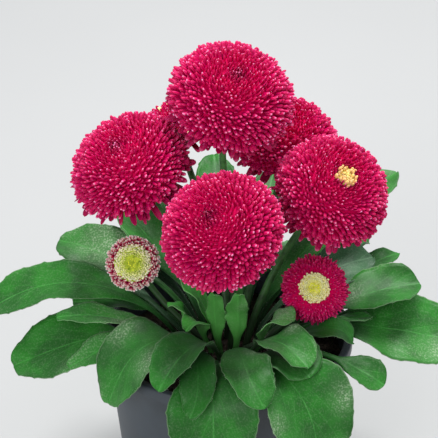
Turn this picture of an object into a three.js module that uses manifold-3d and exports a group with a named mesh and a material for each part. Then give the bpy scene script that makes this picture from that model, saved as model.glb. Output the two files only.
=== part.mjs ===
// An english daisy of the pompon kind in a plain round nursery pot.
// Millimetres, +Z up, front towards -Y. The origin is the middle of the pot's flat base.
// Bearings are degrees about the pot's axis, counted from +X towards +Y.

import * as THREE from "three";
import { ConvexGeometry } from "three/addons/geometries/ConvexGeometry.js";
import { mergeVertices } from "three/addons/utils/BufferGeometryUtils.js";
import Module from "manifold-3d";

const wasm = await Module();
wasm.setup();

// Clearance between two pieces that touch
const GAP = 0.3;

const POT = {
  rimRadius: 50,
  height: 88,
  lipHeight: 5,
  lipStep: 1.8,
  wall: 1.8,
  baseRadius: 39.5,
  baseBevel: 1.5,
  floor: 2.4,
  drainHoles: 6,
  drainRadius: 4,
  drainRing: 26,
  drainSides: 8,
  sides: 36,
};

const SOIL = { crown: 80, shoulder: 79, edge: 77, shoulderRadius: 30, sides: 24 };

// Each stem and leaf stalk stands in a hole of its own in the soil.
const ROOT = { depth: 6, lean: 8, holeRadius: 2.2, holeSides: 5, holeDepth: 7, above: 2 };

// The crown is four rings of holes. A ring's holes are evenly spaced from its first bearing,
// and are taken in the order of the bearings of what grows from them.
const RINGS = {
  core: { radius: 2.7, first: 60 },
  inner: { radius: 7.5, first: -30 },
  middle: { radius: 12.8, first: 5 },
  outer: { radius: 18.4, first: 5 },
};

// A head's centre, the tilt of its axis from upright towards a bearing, its outer radius, its
// height above and below the centre, and how far round from the apex its petals start and stop,
// in degrees. Petals stand on the facets of a core with this many corners. A head that shows its
// disc carries a pale centrepiece, and a bud's stalk leans out first.
const HEADS = [
  {
    name: "bloom_top",
    ring: "core",
    centre: [1.3, 24.7, 179.7],
    tilt: 25,
    facing: 295,
    radius: 25.8,
    up: 17.5,
    down: 13,
    corners: 60,
    from: 0,
    to: 122,
  },
  {
    name: "bloom_front",
    ring: "core",
    centre: [-2.1, -20, 146.4],
    tilt: 39,
    facing: 239,
    radius: 24.9,
    up: 17.5,
    down: 12,
    corners: 60,
    from: 0,
    to: 118,
  },
  {
    name: "bloom_left",
    ring: "inner",
    centre: [-38.1, 15.3, 154.5],
    tilt: 30,
    facing: 222,
    radius: 25,
    up: 16.5,
    down: 11.5,
    corners: 58,
    from: 0,
    to: 120,
  },
  {
    name: "bloom_right",
    ring: "inner",
    centre: [40.5, 7.9, 147.6],
    tilt: 39,
    facing: 303,
    radius: 23.7,
    up: 17,
    down: 12,
    corners: 56,
    from: 13,
    to: 118,
    centrepiece: { kind: "tuft", radius: 2.5, rise: 7.2, corners: 9 },
  },
  {
    name: "bloom_back_right",
    ring: "inner",
    centre: [23.2, 49.4, 147.6],
    tilt: 15,
    facing: 280,
    radius: 22.3,
    up: 14.5,
    down: 9.5,
    corners: 44,
    from: 0,
    to: 118,
  },
  {
    name: "bloom_back_left",
    ring: "inner",
    centre: [-20.5, 60, 146.5],
    tilt: 14,
    facing: 170,
    radius: 16.5,
    up: 11,
    down: 8,
    corners: 34,
    from: 0,
    to: 115,
  },
  {
    name: "bud_left",
    ring: "inner",
    centre: [-37.3, 3.2, 117.8],
    tilt: 58,
    facing: 270,
    lean: 58,
    radius: 11.3,
    up: 6,
    down: 6,
    corners: 32,
    from: 56,
    to: 116,
    coreShare: 0.74,
    centrepiece: { kind: "centre", radius: 6, rise: 3.4, corners: 16 },
  },
  {
    name: "bud_right",
    ring: "inner",
    centre: [34.3, 0.3, 107.6],
    tilt: 53,
    facing: 268,
    lean: 55,
    radius: 14.3,
    up: 6.5,
    down: 6.5,
    corners: 32,
    from: 44,
    to: 116,
    centrepiece: { kind: "centre", radius: 5.4, rise: 3.8, corners: 16 },
  },
];

// What a leaf has unless its own row says otherwise: lean is the angle from upright at which its
// stalk leaves the soil, lift how far it keeps that direction, and lead the share of its length
// over which it comes into line with its tip. Cup folds the blade up along its midrib, roll turns
// it about the midrib, sway bends the midrib sideways at the tip, and wave is the height of its
// frill. Its stalk ends, and it is widest, at these shares of its length.
const LEAF_FORM = {
  lean: 25,
  lift: 17,
  lead: 0.42,
  cup: 0.2,
  roll: 0,
  sway: 0,
  wave: 0.8,
  stalk: 0.24,
  widest: 0.68,
};

// Each leaf's name, ring, bearing, reach and height of its tip, width, and slope of its midrib
// at the tip, with what differs from LEAF_FORM
const LEAVES = [
  ["front_hanging", "outer", 264.5, 56, 66, 35, -100, { lean: 30, lift: 26, lead: 0.9 }],
  ["front_right_hanging", "outer", 305, 61, 60, 38, -88, { lean: 35, lift: 28, lead: 0.85, widest: 0.62 }],
  ["front_shaded", "outer", 256.5, 62, 88.5, 14, -32, { lean: 26, lift: 34, lead: 0.42, sway: -25 }],
  ["front_folded", "middle", 244.5, 60, 96, 17, -35, { lean: 32, lift: 30, cup: 0.6 }],
  [
    "front_left_broad", "middle", 218, 59, 78, 29, -72,
    { lean: 40, lift: 37, lead: 0.75, sway: -6, widest: 0.58 },
  ],
  ["front_centre", "middle", 283, 61, 92.5, 19, -35, { lean: 28, lift: 26, sway: 22 }],
  ["front_glossy", "middle", 307.5, 50.4, 97.2, 19, -25, { lean: 32, lift: 26, cup: 0.4 }],
  ["front_right_round", "outer", 307, 52, 94, 25, -30, { lean: 32, lift: 22 }],
  ["right_small", "outer", 332, 69, 84.3, 14, -25, { stalk: 0.6, widest: 0.82, roll: 15 }],
  ["right_under_bud", "outer", 347, 51, 90, 15, -60, { lift: 10.5, lean: 48, lead: 0.5 }],
  ["right_long", "outer", 2, 96, 80, 34, -15, { roll: 28, lift: 17, stalk: 0.2, widest: 0.66 }],
  ["right_curled", "middle", 362, 58, 93, 8, -5, { lean: 46, lift: 14, stalk: 0.64, widest: 0.84 }],
  ["right_rising", "middle", 11, 79, 101, 23, 0, { roll: 15, lean: 54, lift: 16, stalk: 0.5, widest: 0.75 }],
  ["right_grey", "middle", 29, 68, 102, 20, -8, { roll: 25 }],
  ["right_pointed", "outer", 33, 85, 96, 12, 0],
  ["right_behind", "middle", 41, 93, 126, 20, 15, { lift: 20 }],
  ["left_upper", "middle", 188, 68, 100.5, 12, -12, { roll: -10, lift: 14, lean: 40 }],
  ["left_shaded", "outer", 171, 63, 95, 14, -12, { roll: -10, lean: 35, lift: 14 }],
  ["left_grey", "middle", 157, 56, 102, 11, 0, { lean: 46.8, lift: 16, stalk: 0.48, widest: 0.75 }],
  [
    "left_long", "outer", 174, 100, 88, 21, -42,
    { roll: -25, lift: 21, stalk: 0.17, widest: 0.6, sway: 8, lead: 0.6 },
  ],
  ["left_back", "middle", 150, 80, 106, 25, -5, { roll: -20, lift: 26, lean: 20, stalk: 0.35 }],
  ["left_back_grey", "outer", 139, 66, 107, 15, 10, { roll: -15 }],
  ["left_behind", "middle", 133, 67, 119, 18, 20],
  ["left_low", "outer", 184, 86, 75, 31, -28, { roll: -24, lift: 22, lean: 26, stalk: 0.34, widest: 0.62 }],
  ["left_narrow", "outer", 199.5, 66, 85, 13, -33, { roll: -10, lift: 28, lean: 32 }],
  ["inner_arched", "middle", 186, 24, 102, 7, -10],
  ["inner_curled", "inner", 227, 24, 99.5, 10, -20],
  ["inner_hairy", "middle", 330, 30, 103, 17, -5],
  ["inner_upright_right", "inner", 286, 14, 114, 9, 75],
  ["inner_upright_left", "inner", 247, 14.3, 114, 8, 75],
  ["inner_left", "core", 160, 22, 113, 12, 35],
  ["back_upper_right", "middle", 76, 82, 115, 20, 10],
  ["back_upper", "middle", 94, 80, 124, 20, 20],
  ["back_upper_left", "middle", 116, 80, 112, 20, 8],
  ["back_low_right", "outer", 50, 88, 92, 26, -15],
  ["back_hanging_right", "outer", 72, 78, 84, 26, -35],
  ["back_low", "outer", 98, 88, 92, 26, -15],
  ["back_hanging_left", "outer", 122, 84, 84, 26, -30],
].map(([name, ring, bearing, reach, tip, width, pitch, form]) => ({
  ...LEAF_FORM,
  ...{ name: `leaf_${name}`, ring, bearing, reach, tip, width, pitch },
  ...form,
}));

// How a blade is made along its midrib, which runs from 0 at the soil to 1 at the tip
const BLADE = {
  stalkHalfWidth: 1.3,
  stalkThickness: 1.3,
  thickness: 0.8,
  tipEnd: 1.012,
  toothDepth: 0.06,
  spans: 8,
  spacing: 1.3,
  broadFrom: 24,
};

// Sizes on a head, as shares of its radius, of a petal's length or of a facet's width
const HEAD = {
  core: 0.6,
  seat: 0.3,
  seatDrop: 0.24,
  seatSides: 8,
  shoulderAt: 0.72,
  shoulderWidth: 1.2,
  uneven: 0.05,
};

// Sizes on a pale centre, as shares of its rise, of its radius or of a facet's width
const CENTRE = {
  stand: 0.2,
  crown: 0.55,
  foot: 0.85,
  floretsFrom: 0.3,
  spread: 1.25,
  shoulderWidth: 1,
};

const STALK = {
  radius: 1.4,
  budRadius: 1.2,
  sides: 6,
  steps: 7,
  lean: 12,
  rise: 0.45,
  neck: 0.35,
};

const BRACTS = {
  count: 6,
  length: 0.2,
  cupDepth: 0.26,
  width: 0.2,
  depth: 0.8,
  droop: 0.1,
  shoulderAt: 0.75,
};

const COLOURS = {
  pot: 0x4a505a,
  soil: 0x2b211a,
  petals: 0xb0063e,
  budPetals: 0xa80f3f,
  centre: 0xd9d256,
  tuft: 0xf0e08a,
  stalk: 0x5c8a3c,
  leaf: 0x2f7d32,
  greyLeaf: 0x3f7550,
};

const GOLDEN_ANGLE = Math.PI * (3 - Math.sqrt(5));
const MERGE_DISTANCE = 1e-4;
const UP = new THREE.Vector3(0, 0, 1);

const radians = THREE.MathUtils.degToRad;
const mix = THREE.MathUtils.lerp;
const smooth = (x) => THREE.MathUtils.smoothstep(x, 0, 1);

// A unit vector that leans from upright by an angle towards a bearing
function leaning(lean, bearing) {
  const a = radians(lean);
  const b = radians(bearing);
  return new THREE.Vector3(Math.sin(a) * Math.cos(b), Math.sin(a) * Math.sin(b), Math.cos(a));
}

// A closed geometry as a solid that can be joined and cut
function solidOf(geometry) {
  const bare = new THREE.BufferGeometry();
  bare.setAttribute("position", geometry.getAttribute("position"));
  bare.setIndex(geometry.index);
  const merged = mergeVertices(bare, MERGE_DISTANCE);
  const corners = merged.index.array;
  const triVerts = [];
  for (let i = 0; i < corners.length; i += 3) {
    const [a, b, c] = corners.slice(i, i + 3);
    if (a !== b && b !== c && c !== a) triVerts.push(a, b, c);
  }
  const vertProperties = merged.attributes.position.array;
  return new wasm.Manifold(
    new wasm.Mesh({ numProp: 3, vertProperties, triVerts: new Uint32Array(triVerts) }),
  );
}

// A solid back as a geometry
function geometryOf(solid) {
  const { vertProperties, triVerts } = solid.getMesh();
  return meshGeometry(vertProperties, triVerts);
}

function meshGeometry(positions, triangles) {
  const geometry = new THREE.BufferGeometry();
  geometry.setAttribute("position", new THREE.Float32BufferAttribute(positions, 3));
  geometry.setIndex([...triangles]);
  geometry.computeVertexNormals();
  return geometry;
}

function namedMesh(name, geometry, color, roughness) {
  const material = new THREE.MeshStandardMaterial({ color, roughness, metalness: 0 });
  const mesh = new THREE.Mesh(geometry, material);
  mesh.name = name;
  return mesh;
}

// A body of revolution about Z from [radius, height] pairs that start and end on the axis,
// counter-clockwise when the axis is on the left
function turned(profile, sides) {
  const points = profile.map(([r, z]) => new THREE.Vector2(r, z));
  return new THREE.LatheGeometry(points, sides).rotateX(Math.PI / 2);
}

// Pot and soil

const potRadiusAt = (z) =>
  mix(POT.baseRadius, POT.rimRadius - POT.lipStep, z / (POT.height - POT.lipHeight));

function potSolid() {
  const lipFoot = POT.height - POT.lipHeight;
  const innerAt = (z) => potRadiusAt(z) - POT.wall;
  const shell = solidOf(
    turned(
      [
        [0, 0],
        [POT.baseRadius - POT.baseBevel, 0],
        [potRadiusAt(POT.baseBevel), POT.baseBevel],
        [potRadiusAt(lipFoot), lipFoot],
        [POT.rimRadius - POT.lipStep / 3, lipFoot],
        [POT.rimRadius, lipFoot + POT.lipStep / 2],
        [POT.rimRadius, POT.height - POT.lipStep / 2],
        [POT.rimRadius - POT.lipStep / 2, POT.height],
        [innerAt(lipFoot) + POT.lipStep / 2, POT.height],
        [innerAt(lipFoot), lipFoot],
        [innerAt(POT.floor), POT.floor],
        [0, POT.floor],
      ],
      POT.sides,
    ),
  );
  const drill = new THREE.CylinderGeometry(
    POT.drainRadius,
    POT.drainRadius,
    4 * POT.floor,
    POT.drainSides,
  ).rotateX(Math.PI / 2);
  let pot = shell;
  for (let i = 0; i < POT.drainHoles; i += 1) {
    const turn = (2 * Math.PI * i) / POT.drainHoles;
    const hole = drill.clone().translate(POT.drainRing, 0, 0).rotateZ(turn);
    pot = pot.subtract(solidOf(hole));
  }
  return pot;
}

// The soil's surface is a low mound: flat-sided from the crown to a shoulder and on to the wall.
function soilHeight(radius) {
  if (radius < SOIL.shoulderRadius)
    return mix(SOIL.crown, SOIL.shoulder, radius / SOIL.shoulderRadius);
  const wall = potRadiusAt(SOIL.edge) - POT.wall;
  return mix(
    SOIL.shoulder,
    SOIL.edge,
    (radius - SOIL.shoulderRadius) / (wall - SOIL.shoulderRadius),
  );
}

function soilSolid(roots) {
  const innerAt = (z) => potRadiusAt(z) - POT.wall - GAP;
  const flatSideLoss = Math.cos(Math.PI / SOIL.sides);
  const bottom = POT.floor + GAP;
  const mound = solidOf(
    turned(
      [
        [0, bottom],
        [innerAt(bottom) * flatSideLoss, bottom],
        [innerAt(SOIL.edge) * flatSideLoss, SOIL.edge],
        [SOIL.shoulderRadius, SOIL.shoulder],
        [0, SOIL.crown],
      ],
      SOIL.sides,
    ),
  );
  const drill = new THREE.CylinderGeometry(
    ROOT.holeRadius,
    ROOT.holeRadius,
    2 * ROOT.holeDepth,
    ROOT.holeSides,
  ).rotateX(Math.PI / 2);
  const holes = roots.map((root) => {
    const aim = new THREE.Quaternion().setFromUnitVectors(UP, root.direction);
    return solidOf(drill.clone().applyQuaternion(aim).translate(...root.position.toArray()));
  });
  return mound.subtract(wasm.Manifold.union(holes));
}

// The crown: where each stem and leaf stalk leaves the soil

function bearingOf(plantPart) {
  if (plantPart.bearing !== undefined) return plantPart.bearing;
  const [x, y] = plantPart.centre;
  return (THREE.MathUtils.radToDeg(Math.atan2(y, x)) + 360) % 360;
}

function rootsOf(plantParts) {
  const roots = new Map();
  for (const [ringName, ring] of Object.entries(RINGS)) {
    const members = plantParts.filter((p) => p.ring === ringName);
    members.sort((a, b) => bearingOf(a) - bearingOf(b));
    members.forEach((member, i) => {
      const bearing = ring.first + (360 * i) / members.length;
      const b = radians(bearing);
      const position = new THREE.Vector3(
        ring.radius * Math.cos(b),
        ring.radius * Math.sin(b),
        soilHeight(ring.radius),
      );
      roots.set(member.name, { position, bearing, direction: leaning(ROOT.lean, bearing) });
    });
  }
  return roots;
}

// Leaves

// The midrib: straight in the soil, then one Bezier arch out to the tip
function midrib(leaf, root) {
  const b = radians(leaf.bearing);
  const tip = new THREE.Vector3(leaf.reach * Math.cos(b), leaf.reach * Math.sin(b), leaf.tip);
  const start = root.position.clone().addScaledVector(root.direction, ROOT.above);
  const across = tip.clone().sub(start);
  const heading = Math.atan2(across.y, across.x) + radians(leaf.sway);
  const pitch = radians(leaf.pitch);
  const tipDirection = new THREE.Vector3(
    Math.cos(pitch) * Math.cos(heading),
    Math.cos(pitch) * Math.sin(heading),
    Math.sin(pitch),
  );
  const out = leaning(leaf.lean, root.bearing);
  return new THREE.CubicBezierCurve3(
    start,
    start.clone().addScaledVector(out, leaf.lift),
    tip.clone().addScaledVector(tipDirection, -leaf.lead * across.length()),
    tip,
  );
}

// How much of the full blade there is at u: 0 on the stalk, 1 from the widest place on
const bladeGrowth = (leaf, u) => smooth((u - leaf.stalk) / (leaf.widest - leaf.stalk));

function bladeHalfWidth(leaf, u, index) {
  const tooth = index % 2 ? 1 - BLADE.toothDepth : 1;
  const full = (leaf.width / 2) * tooth;
  if (u < leaf.widest) return mix(BLADE.stalkHalfWidth, full, bladeGrowth(leaf, u));
  const x = (u - leaf.widest) / (BLADE.tipEnd - leaf.widest);
  return full * Math.sqrt(1 - x * x);
}

// A blade is a strip of cross-sections along its midrib, with the same triangles on both faces.
function leafGeometry(leaf, root) {
  const rib = midrib(leaf, root);
  const b = radians(leaf.bearing);
  const level = new THREE.Vector3(-Math.sin(b), Math.cos(b), 0);
  const columns = leaf.width >= BLADE.broadFrom ? [1, 0.5, 0, -0.5, -1] : [1, 0, -1];

  const stations = [
    {
      centre: root.position.clone().addScaledVector(root.direction, -ROOT.depth),
      tangent: root.direction,
      u: 0,
    },
  ];
  for (let i = 0; i <= BLADE.spans; i += 1) {
    const u = 1 - (1 - i / BLADE.spans) ** BLADE.spacing;
    stations.push({ centre: rib.getPointAt(u), tangent: rib.getTangentAt(u), u });
  }

  const top = [];
  const under = [];
  stations.forEach(({ centre, tangent, u }, i) => {
    const side = level.clone().addScaledVector(tangent, -level.dot(tangent)).normalize();
    side.applyAxisAngle(tangent, radians(leaf.roll) * smooth(u));
    const normal = new THREE.Vector3().crossVectors(tangent, side);
    const half = bladeHalfWidth(leaf, u, i);
    const blade = bladeGrowth(leaf, u);
    const thickness = mix(BLADE.stalkThickness, BLADE.thickness, blade);
    for (const x of columns) {
      const frill = leaf.wave * blade * x * x * Math.sin(2.4 * i + 1.7 * x);
      const rise = leaf.cup * half * blade * x * x + frill + thickness / 2;
      const point = centre.clone().addScaledVector(side, x * half).addScaledVector(normal, rise);
      top.push(point);
      under.push(point.clone().addScaledVector(normal, -thickness));
    }
  });
  return stripGeometry(top, under, stations.length, columns.length);
}

// A closed strip between two grids of rows by columns points
function stripGeometry(top, under, rows, columns) {
  const positions = [...top, ...under].flatMap((p) => p.toArray());
  const upper = (i, j) => i * columns + j;
  const lower = (i, j) => rows * columns + i * columns + j;
  const triangles = [];
  const quad = (a, b, c, d) => triangles.push(a, b, c, a, c, d);
  for (let i = 0; i + 1 < rows; i += 1) {
    for (let j = 0; j + 1 < columns; j += 1) {
      quad(upper(i, j), upper(i, j + 1), upper(i + 1, j + 1), upper(i + 1, j));
      triangles.push(lower(i, j), lower(i + 1, j + 1), lower(i, j + 1));
      triangles.push(lower(i, j), lower(i + 1, j), lower(i + 1, j + 1));
    }
    const last = columns - 1;
    quad(upper(i, 0), upper(i + 1, 0), lower(i + 1, 0), lower(i, 0));
    quad(upper(i, last), lower(i, last), lower(i + 1, last), upper(i + 1, last));
  }
  for (let j = 0; j + 1 < columns; j += 1) {
    const end = rows - 1;
    quad(upper(0, j), lower(0, j), lower(0, j + 1), upper(0, j + 1));
    quad(upper(end, j), upper(end, j + 1), lower(end, j + 1), lower(end, j));
  }
  return meshGeometry(positions, triangles);
}

// Heads

// A repeatable stream of numbers from 0 to 1
function randomStream(seed) {
  let state = seed;
  return () => {
    state = (Math.imul(state, 1664525) + 1013904223) >>> 0;
    return state / 2 ** 32;
  };
}

function polarPoint(radius, height, turn) {
  return new THREE.Vector3(radius * Math.cos(turn), radius * Math.sin(turn), height);
}

// Evenly turned points at one height
function circle(count, radius, height) {
  return Array.from({ length: count }, (_, i) =>
    polarPoint(radius, height, (2 * Math.PI * i) / count),
  );
}

// Points in golden-angle order over a dome, between two angles from its apex
function dome(count, radius, up, down, from, to) {
  const start = Math.cos(radians(from));
  const end = Math.cos(radians(to));
  return Array.from({ length: count }, (_, i) => {
    const height = mix(start, end, (i + 0.5) / count);
    const reach = radius * Math.sqrt(1 - height * height);
    return polarPoint(reach, height * (height > 0 ? up : down), i * GOLDEN_ANGLE);
  });
}

// The closed hull of the points, with a floret raised from each facet that has a tip: a
// three-sided spindle that widens to its shoulders and narrows to its tip
function floretedHull(points, shoulderWidth, tipOf) {
  const hull = new ConvexGeometry(points).getAttribute("position");
  const corners = [];
  for (let i = 0; i < hull.count; i += 3) {
    const facet = [0, 1, 2].map((k) => new THREE.Vector3().fromBufferAttribute(hull, i + k));
    const middle = new THREE.Vector3().add(facet[0]).add(facet[1]).add(facet[2]).divideScalar(3);
    const tip = tipOf(middle);
    if (!tip) {
      corners.push(...facet);
      continue;
    }
    const collar = middle.clone().lerp(tip, HEAD.shoulderAt);
    const shoulders = facet.map((corner) =>
      corner.clone().sub(middle).multiplyScalar(shoulderWidth).add(collar),
    );
    for (let k = 0; k < 3; k += 1) {
      const next = (k + 1) % 3;
      corners.push(facet[k], facet[next], shoulders[next]);
      corners.push(facet[k], shoulders[next], shoulders[k]);
      corners.push(shoulders[k], shoulders[next], tip);
    }
  }
  const positions = corners.flatMap((p) => p.toArray());
  const triangles = corners.map((_, i) => i);
  return mergeVertices(meshGeometry(positions, triangles).deleteAttribute("normal"), MERGE_DISTANCE);
}

const seatHeight = (head) => -head.radius * HEAD.seatDrop;

// The top of the core is flat where a centrepiece sits on it.
const deckHeight = (head) =>
  head.up * (head.coreShare ?? HEAD.core) * Math.cos(radians(head.from));

function headGeometry(head, seed) {
  const share = head.coreShare ?? HEAD.core;
  const random = randomStream(seed);
  const wide = share * head.radius;
  const points = dome(head.corners, wide, share * head.up, share * head.down, head.from, head.to);
  points.push(...circle(HEAD.seatSides, HEAD.seat * head.radius, seatHeight(head)));
  if (head.from > 0) {
    const deckShare = Math.sin(radians(head.from));
    const deckCorners = Math.max(6, Math.round((head.corners * deckShare) / 3));
    points.push(...circle(deckCorners, wide * deckShare, deckHeight(head)));
  }
  const lowest = Math.cos(radians(head.to));
  const highest = Math.cos(radians(head.from));
  return floretedHull(points, HEAD.shoulderWidth, (middle) => {
    const { x, y, z } = middle;
    const lengthwise = z / (share * (z > 0 ? head.up : head.down));
    const height = lengthwise / Math.hypot(lengthwise, Math.hypot(x, y) / wide);
    if (height < lowest || (head.from > 0 && height > highest)) return null;
    const reach = (1 - HEAD.uneven * random()) * head.radius * Math.sqrt(1 - height * height);
    return polarPoint(reach, height * (height > 0 ? head.up : head.down), Math.atan2(y, x));
  });
}

// A pale centre of small florets, which sits on the deck of its head
function centrepieceGeometry(head) {
  const { radius, rise, corners } = head.centrepiece;
  const foot = deckHeight(head) + GAP;
  const crown = CENTRE.crown * rise;
  const points = dome(corners, radius, crown, crown, 0, 85);
  for (const point of points) point.z += foot + CENTRE.stand * rise;
  points.push(...circle(9, CENTRE.foot * radius, foot));
  const spring = new THREE.Vector3(0, 0, foot - rise);
  return floretedHull(points, CENTRE.shoulderWidth, (middle) => {
    if (middle.z < foot + CENTRE.floretsFrom * rise) return null;
    return middle.clone().sub(spring).multiplyScalar(CENTRE.spread).add(spring);
  });
}

// Stalks

const isBud = (head) => head.centrepiece?.kind === "centre";

// A bract: a flat three-sided blade from its root to its shoulders and its tip
function bractGeometry(from, to, width) {
  const along = to.clone().sub(from).normalize();
  const across = new THREE.Vector3().crossVectors(UP, along).normalize();
  const upper = new THREE.Vector3().crossVectors(along, across);
  const shoulder = from.clone().lerp(to, BRACTS.shoulderAt);
  const section = (centre, half) => [
    centre.clone().addScaledVector(across, half),
    centre.clone().addScaledVector(across, -half),
    centre.clone().addScaledVector(upper, -BRACTS.depth),
  ];
  const points = [...section(from, width / 4), ...section(shoulder, width / 2), to];
  const triangles = [0, 2, 1];
  for (let k = 0; k < 3; k += 1) {
    const next = (k + 1) % 3;
    triangles.push(k, next, next + 3, k, next + 3, k + 3, k + 3, next + 3, 6);
  }
  return meshGeometry(
    points.flatMap((p) => p.toArray()),
    triangles,
  );
}

// A stalk from the soil to the green cup of bracts under its head, all one body
function stalkSolid(head, root, frame) {
  const seat = seatHeight(head) - GAP;
  const cupRadius = head.radius * HEAD.seat;
  const cupFoot = seat - head.radius * BRACTS.cupDepth;
  const radius = isBud(head) ? STALK.budRadius : STALK.radius;
  const cup = solidOf(
    turned(
      [
        [0, cupFoot - radius],
        [radius * 1.2, cupFoot],
        [cupRadius * 0.75, mix(cupFoot, seat, 0.45)],
        [cupRadius * 0.95, seat],
        [0, seat],
      ],
      HEAD.seatSides,
    ).applyMatrix4(frame),
  );

  const bracts = [];
  for (let i = 0; i < BRACTS.count; i += 1) {
    const turn = (2 * Math.PI * (i + 0.5)) / BRACTS.count;
    const from = polarPoint(cupRadius * 0.45, seat - BRACTS.depth, turn);
    const reach = cupRadius + head.radius * BRACTS.length;
    const to = polarPoint(reach, seat - BRACTS.droop * head.radius, turn);
    const bract = bractGeometry(from, to, head.radius * BRACTS.width).applyMatrix4(frame);
    bracts.push(solidOf(bract));
  }

  const axis = new THREE.Vector3(0, 0, 1).transformDirection(frame);
  const foot = root.position.clone().addScaledVector(root.direction, -ROOT.depth);
  const start = root.position.clone().addScaledVector(root.direction, ROOT.above);
  const end = new THREE.Vector3(0, 0, mix(cupFoot, seat, 0.5)).applyMatrix4(frame);
  const reach = start.distanceTo(end);
  const outward = leaning(head.lean ?? STALK.lean, bearingOf(head));
  const path = new THREE.CurvePath();
  path.add(new THREE.LineCurve3(foot, start));
  path.add(
    new THREE.CubicBezierCurve3(
      start,
      start.clone().addScaledVector(outward, reach * STALK.rise),
      end.clone().addScaledVector(axis, -reach * STALK.neck),
      end,
    ),
  );
  const section = new THREE.Shape();
  for (let k = 0; k <= STALK.sides; k += 1) {
    const a = (2 * Math.PI * k) / STALK.sides;
    const [x, y] = [radius * Math.cos(a), radius * Math.sin(a)];
    if (k === 0) section.moveTo(x, y);
    else if (k < STALK.sides) section.lineTo(x, y);
  }
  const stem = new THREE.ExtrudeGeometry(section, { extrudePath: path, steps: STALK.steps });
  return wasm.Manifold.union([solidOf(stem), cup, ...bracts]);
}

// Assembly

const plant = new THREE.Group();
const roots = rootsOf([...HEADS, ...LEAVES]);

plant.add(namedMesh("pot", geometryOf(potSolid()), COLOURS.pot, 0.6));
plant.add(namedMesh("soil", geometryOf(soilSolid([...roots.values()])), COLOURS.soil, 0.95));

HEADS.forEach((head, index) => {
  const facing = new THREE.Group();
  facing.position.set(...head.centre);
  facing.quaternion.setFromUnitVectors(UP, leaning(head.tilt, head.facing));
  facing.updateMatrix();
  const petalColour = isBud(head) ? COLOURS.budPetals : COLOURS.petals;
  facing.add(namedMesh(`${head.name}_petals`, headGeometry(head, index + 1), petalColour, 0.55));
  if (head.centrepiece) {
    const name = `${head.name}_${head.centrepiece.kind}`;
    const colour = COLOURS[head.centrepiece.kind];
    facing.add(namedMesh(name, centrepieceGeometry(head), colour, 0.6));
  }
  plant.add(facing);
  const stalk = stalkSolid(head, roots.get(head.name), facing.matrix);
  plant.add(namedMesh(`${head.name}_stalk`, geometryOf(stalk), COLOURS.stalk, 0.6));
});

for (const leaf of LEAVES) {
  const colour = leaf.name.includes("grey") ? COLOURS.greyLeaf : COLOURS.leaf;
  plant.add(namedMesh(leaf.name, leafGeometry(leaf, roots.get(leaf.name)), colour, 0.5));
}

export default plant;
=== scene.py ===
"""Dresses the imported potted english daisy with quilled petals, florets, leaves, soil and its pot.

The tables are in millimetres and degrees, with bearings counted from +X towards +Y, like the
part's own source. Every piece becomes metres when its mesh is finished.
"""

import random
from collections import namedtuple
from functools import partialmethod
from math import atan2, copysign, cos, degrees, exp, hypot, pi, radians, sin, sqrt

import bmesh
import bpy
import numpy as np
from bpy.props import FloatProperty, FloatVectorProperty, PointerProperty
from mathutils import Matrix, Quaternion, Vector, noise


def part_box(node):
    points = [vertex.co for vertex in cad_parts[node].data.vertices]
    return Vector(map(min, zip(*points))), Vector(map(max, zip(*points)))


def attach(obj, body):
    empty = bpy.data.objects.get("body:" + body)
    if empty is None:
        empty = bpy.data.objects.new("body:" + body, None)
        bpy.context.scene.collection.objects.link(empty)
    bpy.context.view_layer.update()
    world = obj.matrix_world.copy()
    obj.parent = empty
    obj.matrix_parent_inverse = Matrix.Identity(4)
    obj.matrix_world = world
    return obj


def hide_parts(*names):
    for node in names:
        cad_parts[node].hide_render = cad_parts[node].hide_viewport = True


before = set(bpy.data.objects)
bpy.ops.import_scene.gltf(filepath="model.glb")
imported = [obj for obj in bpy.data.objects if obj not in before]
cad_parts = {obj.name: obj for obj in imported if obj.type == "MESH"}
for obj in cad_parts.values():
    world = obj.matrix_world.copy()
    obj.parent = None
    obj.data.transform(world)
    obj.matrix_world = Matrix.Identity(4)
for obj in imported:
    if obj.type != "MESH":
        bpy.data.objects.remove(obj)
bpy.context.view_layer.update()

bl_info = {
    "name": "Potted English Daisy",
    "version": (1, 0, 0),
    "blender": (4, 5, 0),
    "location": "View3D > Sidebar > Daisy",
    "description": "Builds the heads, leaves, soil, pot and studio of a potted english daisy",
    "category": "Add Mesh",
}

MM = 0.001
GOLDEN_ANGLE = pi * (3 - sqrt(5))
UP = Vector((0, 0, 1))

# The pot's measures; its rim and height are those of its CAD node
POT_RIM, _, POT_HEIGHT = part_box("pot")[1] / MM
POT_BASE = 39.5
POT_LIP_HEIGHT = 5
POT_LIP_STEP = 1.8
POT_WALL = 1.8
POT_FLOOR = 2.4
POT_SIDES = 96
SHARP_ANGLE = 42
DRAIN_HOLES = 6
DRAIN_RADIUS = 4
DRAIN_RING = 26

# The soil's mound, and the rings of the crown from which stems and leaves grow: how far out a
# ring is, and the bearing of its first root
SOIL_RIM, _, SOIL_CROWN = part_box("soil")[1] / MM
SOIL_SHOULDER = 79
SOIL_SHOULDER_RADIUS = 30
SOIL_EDGE = 77
SOIL_GAP = 0.3
SOIL_RINGS = 30
SOIL_LUMP = 1.3
LUMP_SIZES = (6, 2.2)
CRUMB_SHAPES = 3
CRUMB_BUMPS = (0.6, 1.15)
CRUMB_FLATNESS = 0.7
SMALLEST_CRUMB = 0.3
ROOT_DEPTH = 6
ROOT_LEAN = 8
ROOT_ABOVE = 2
RINGS = {"core": (2.7, 60), "inner": (7.5, -30), "middle": (12.8, 5), "outer": (18.4, 5)}

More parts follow.
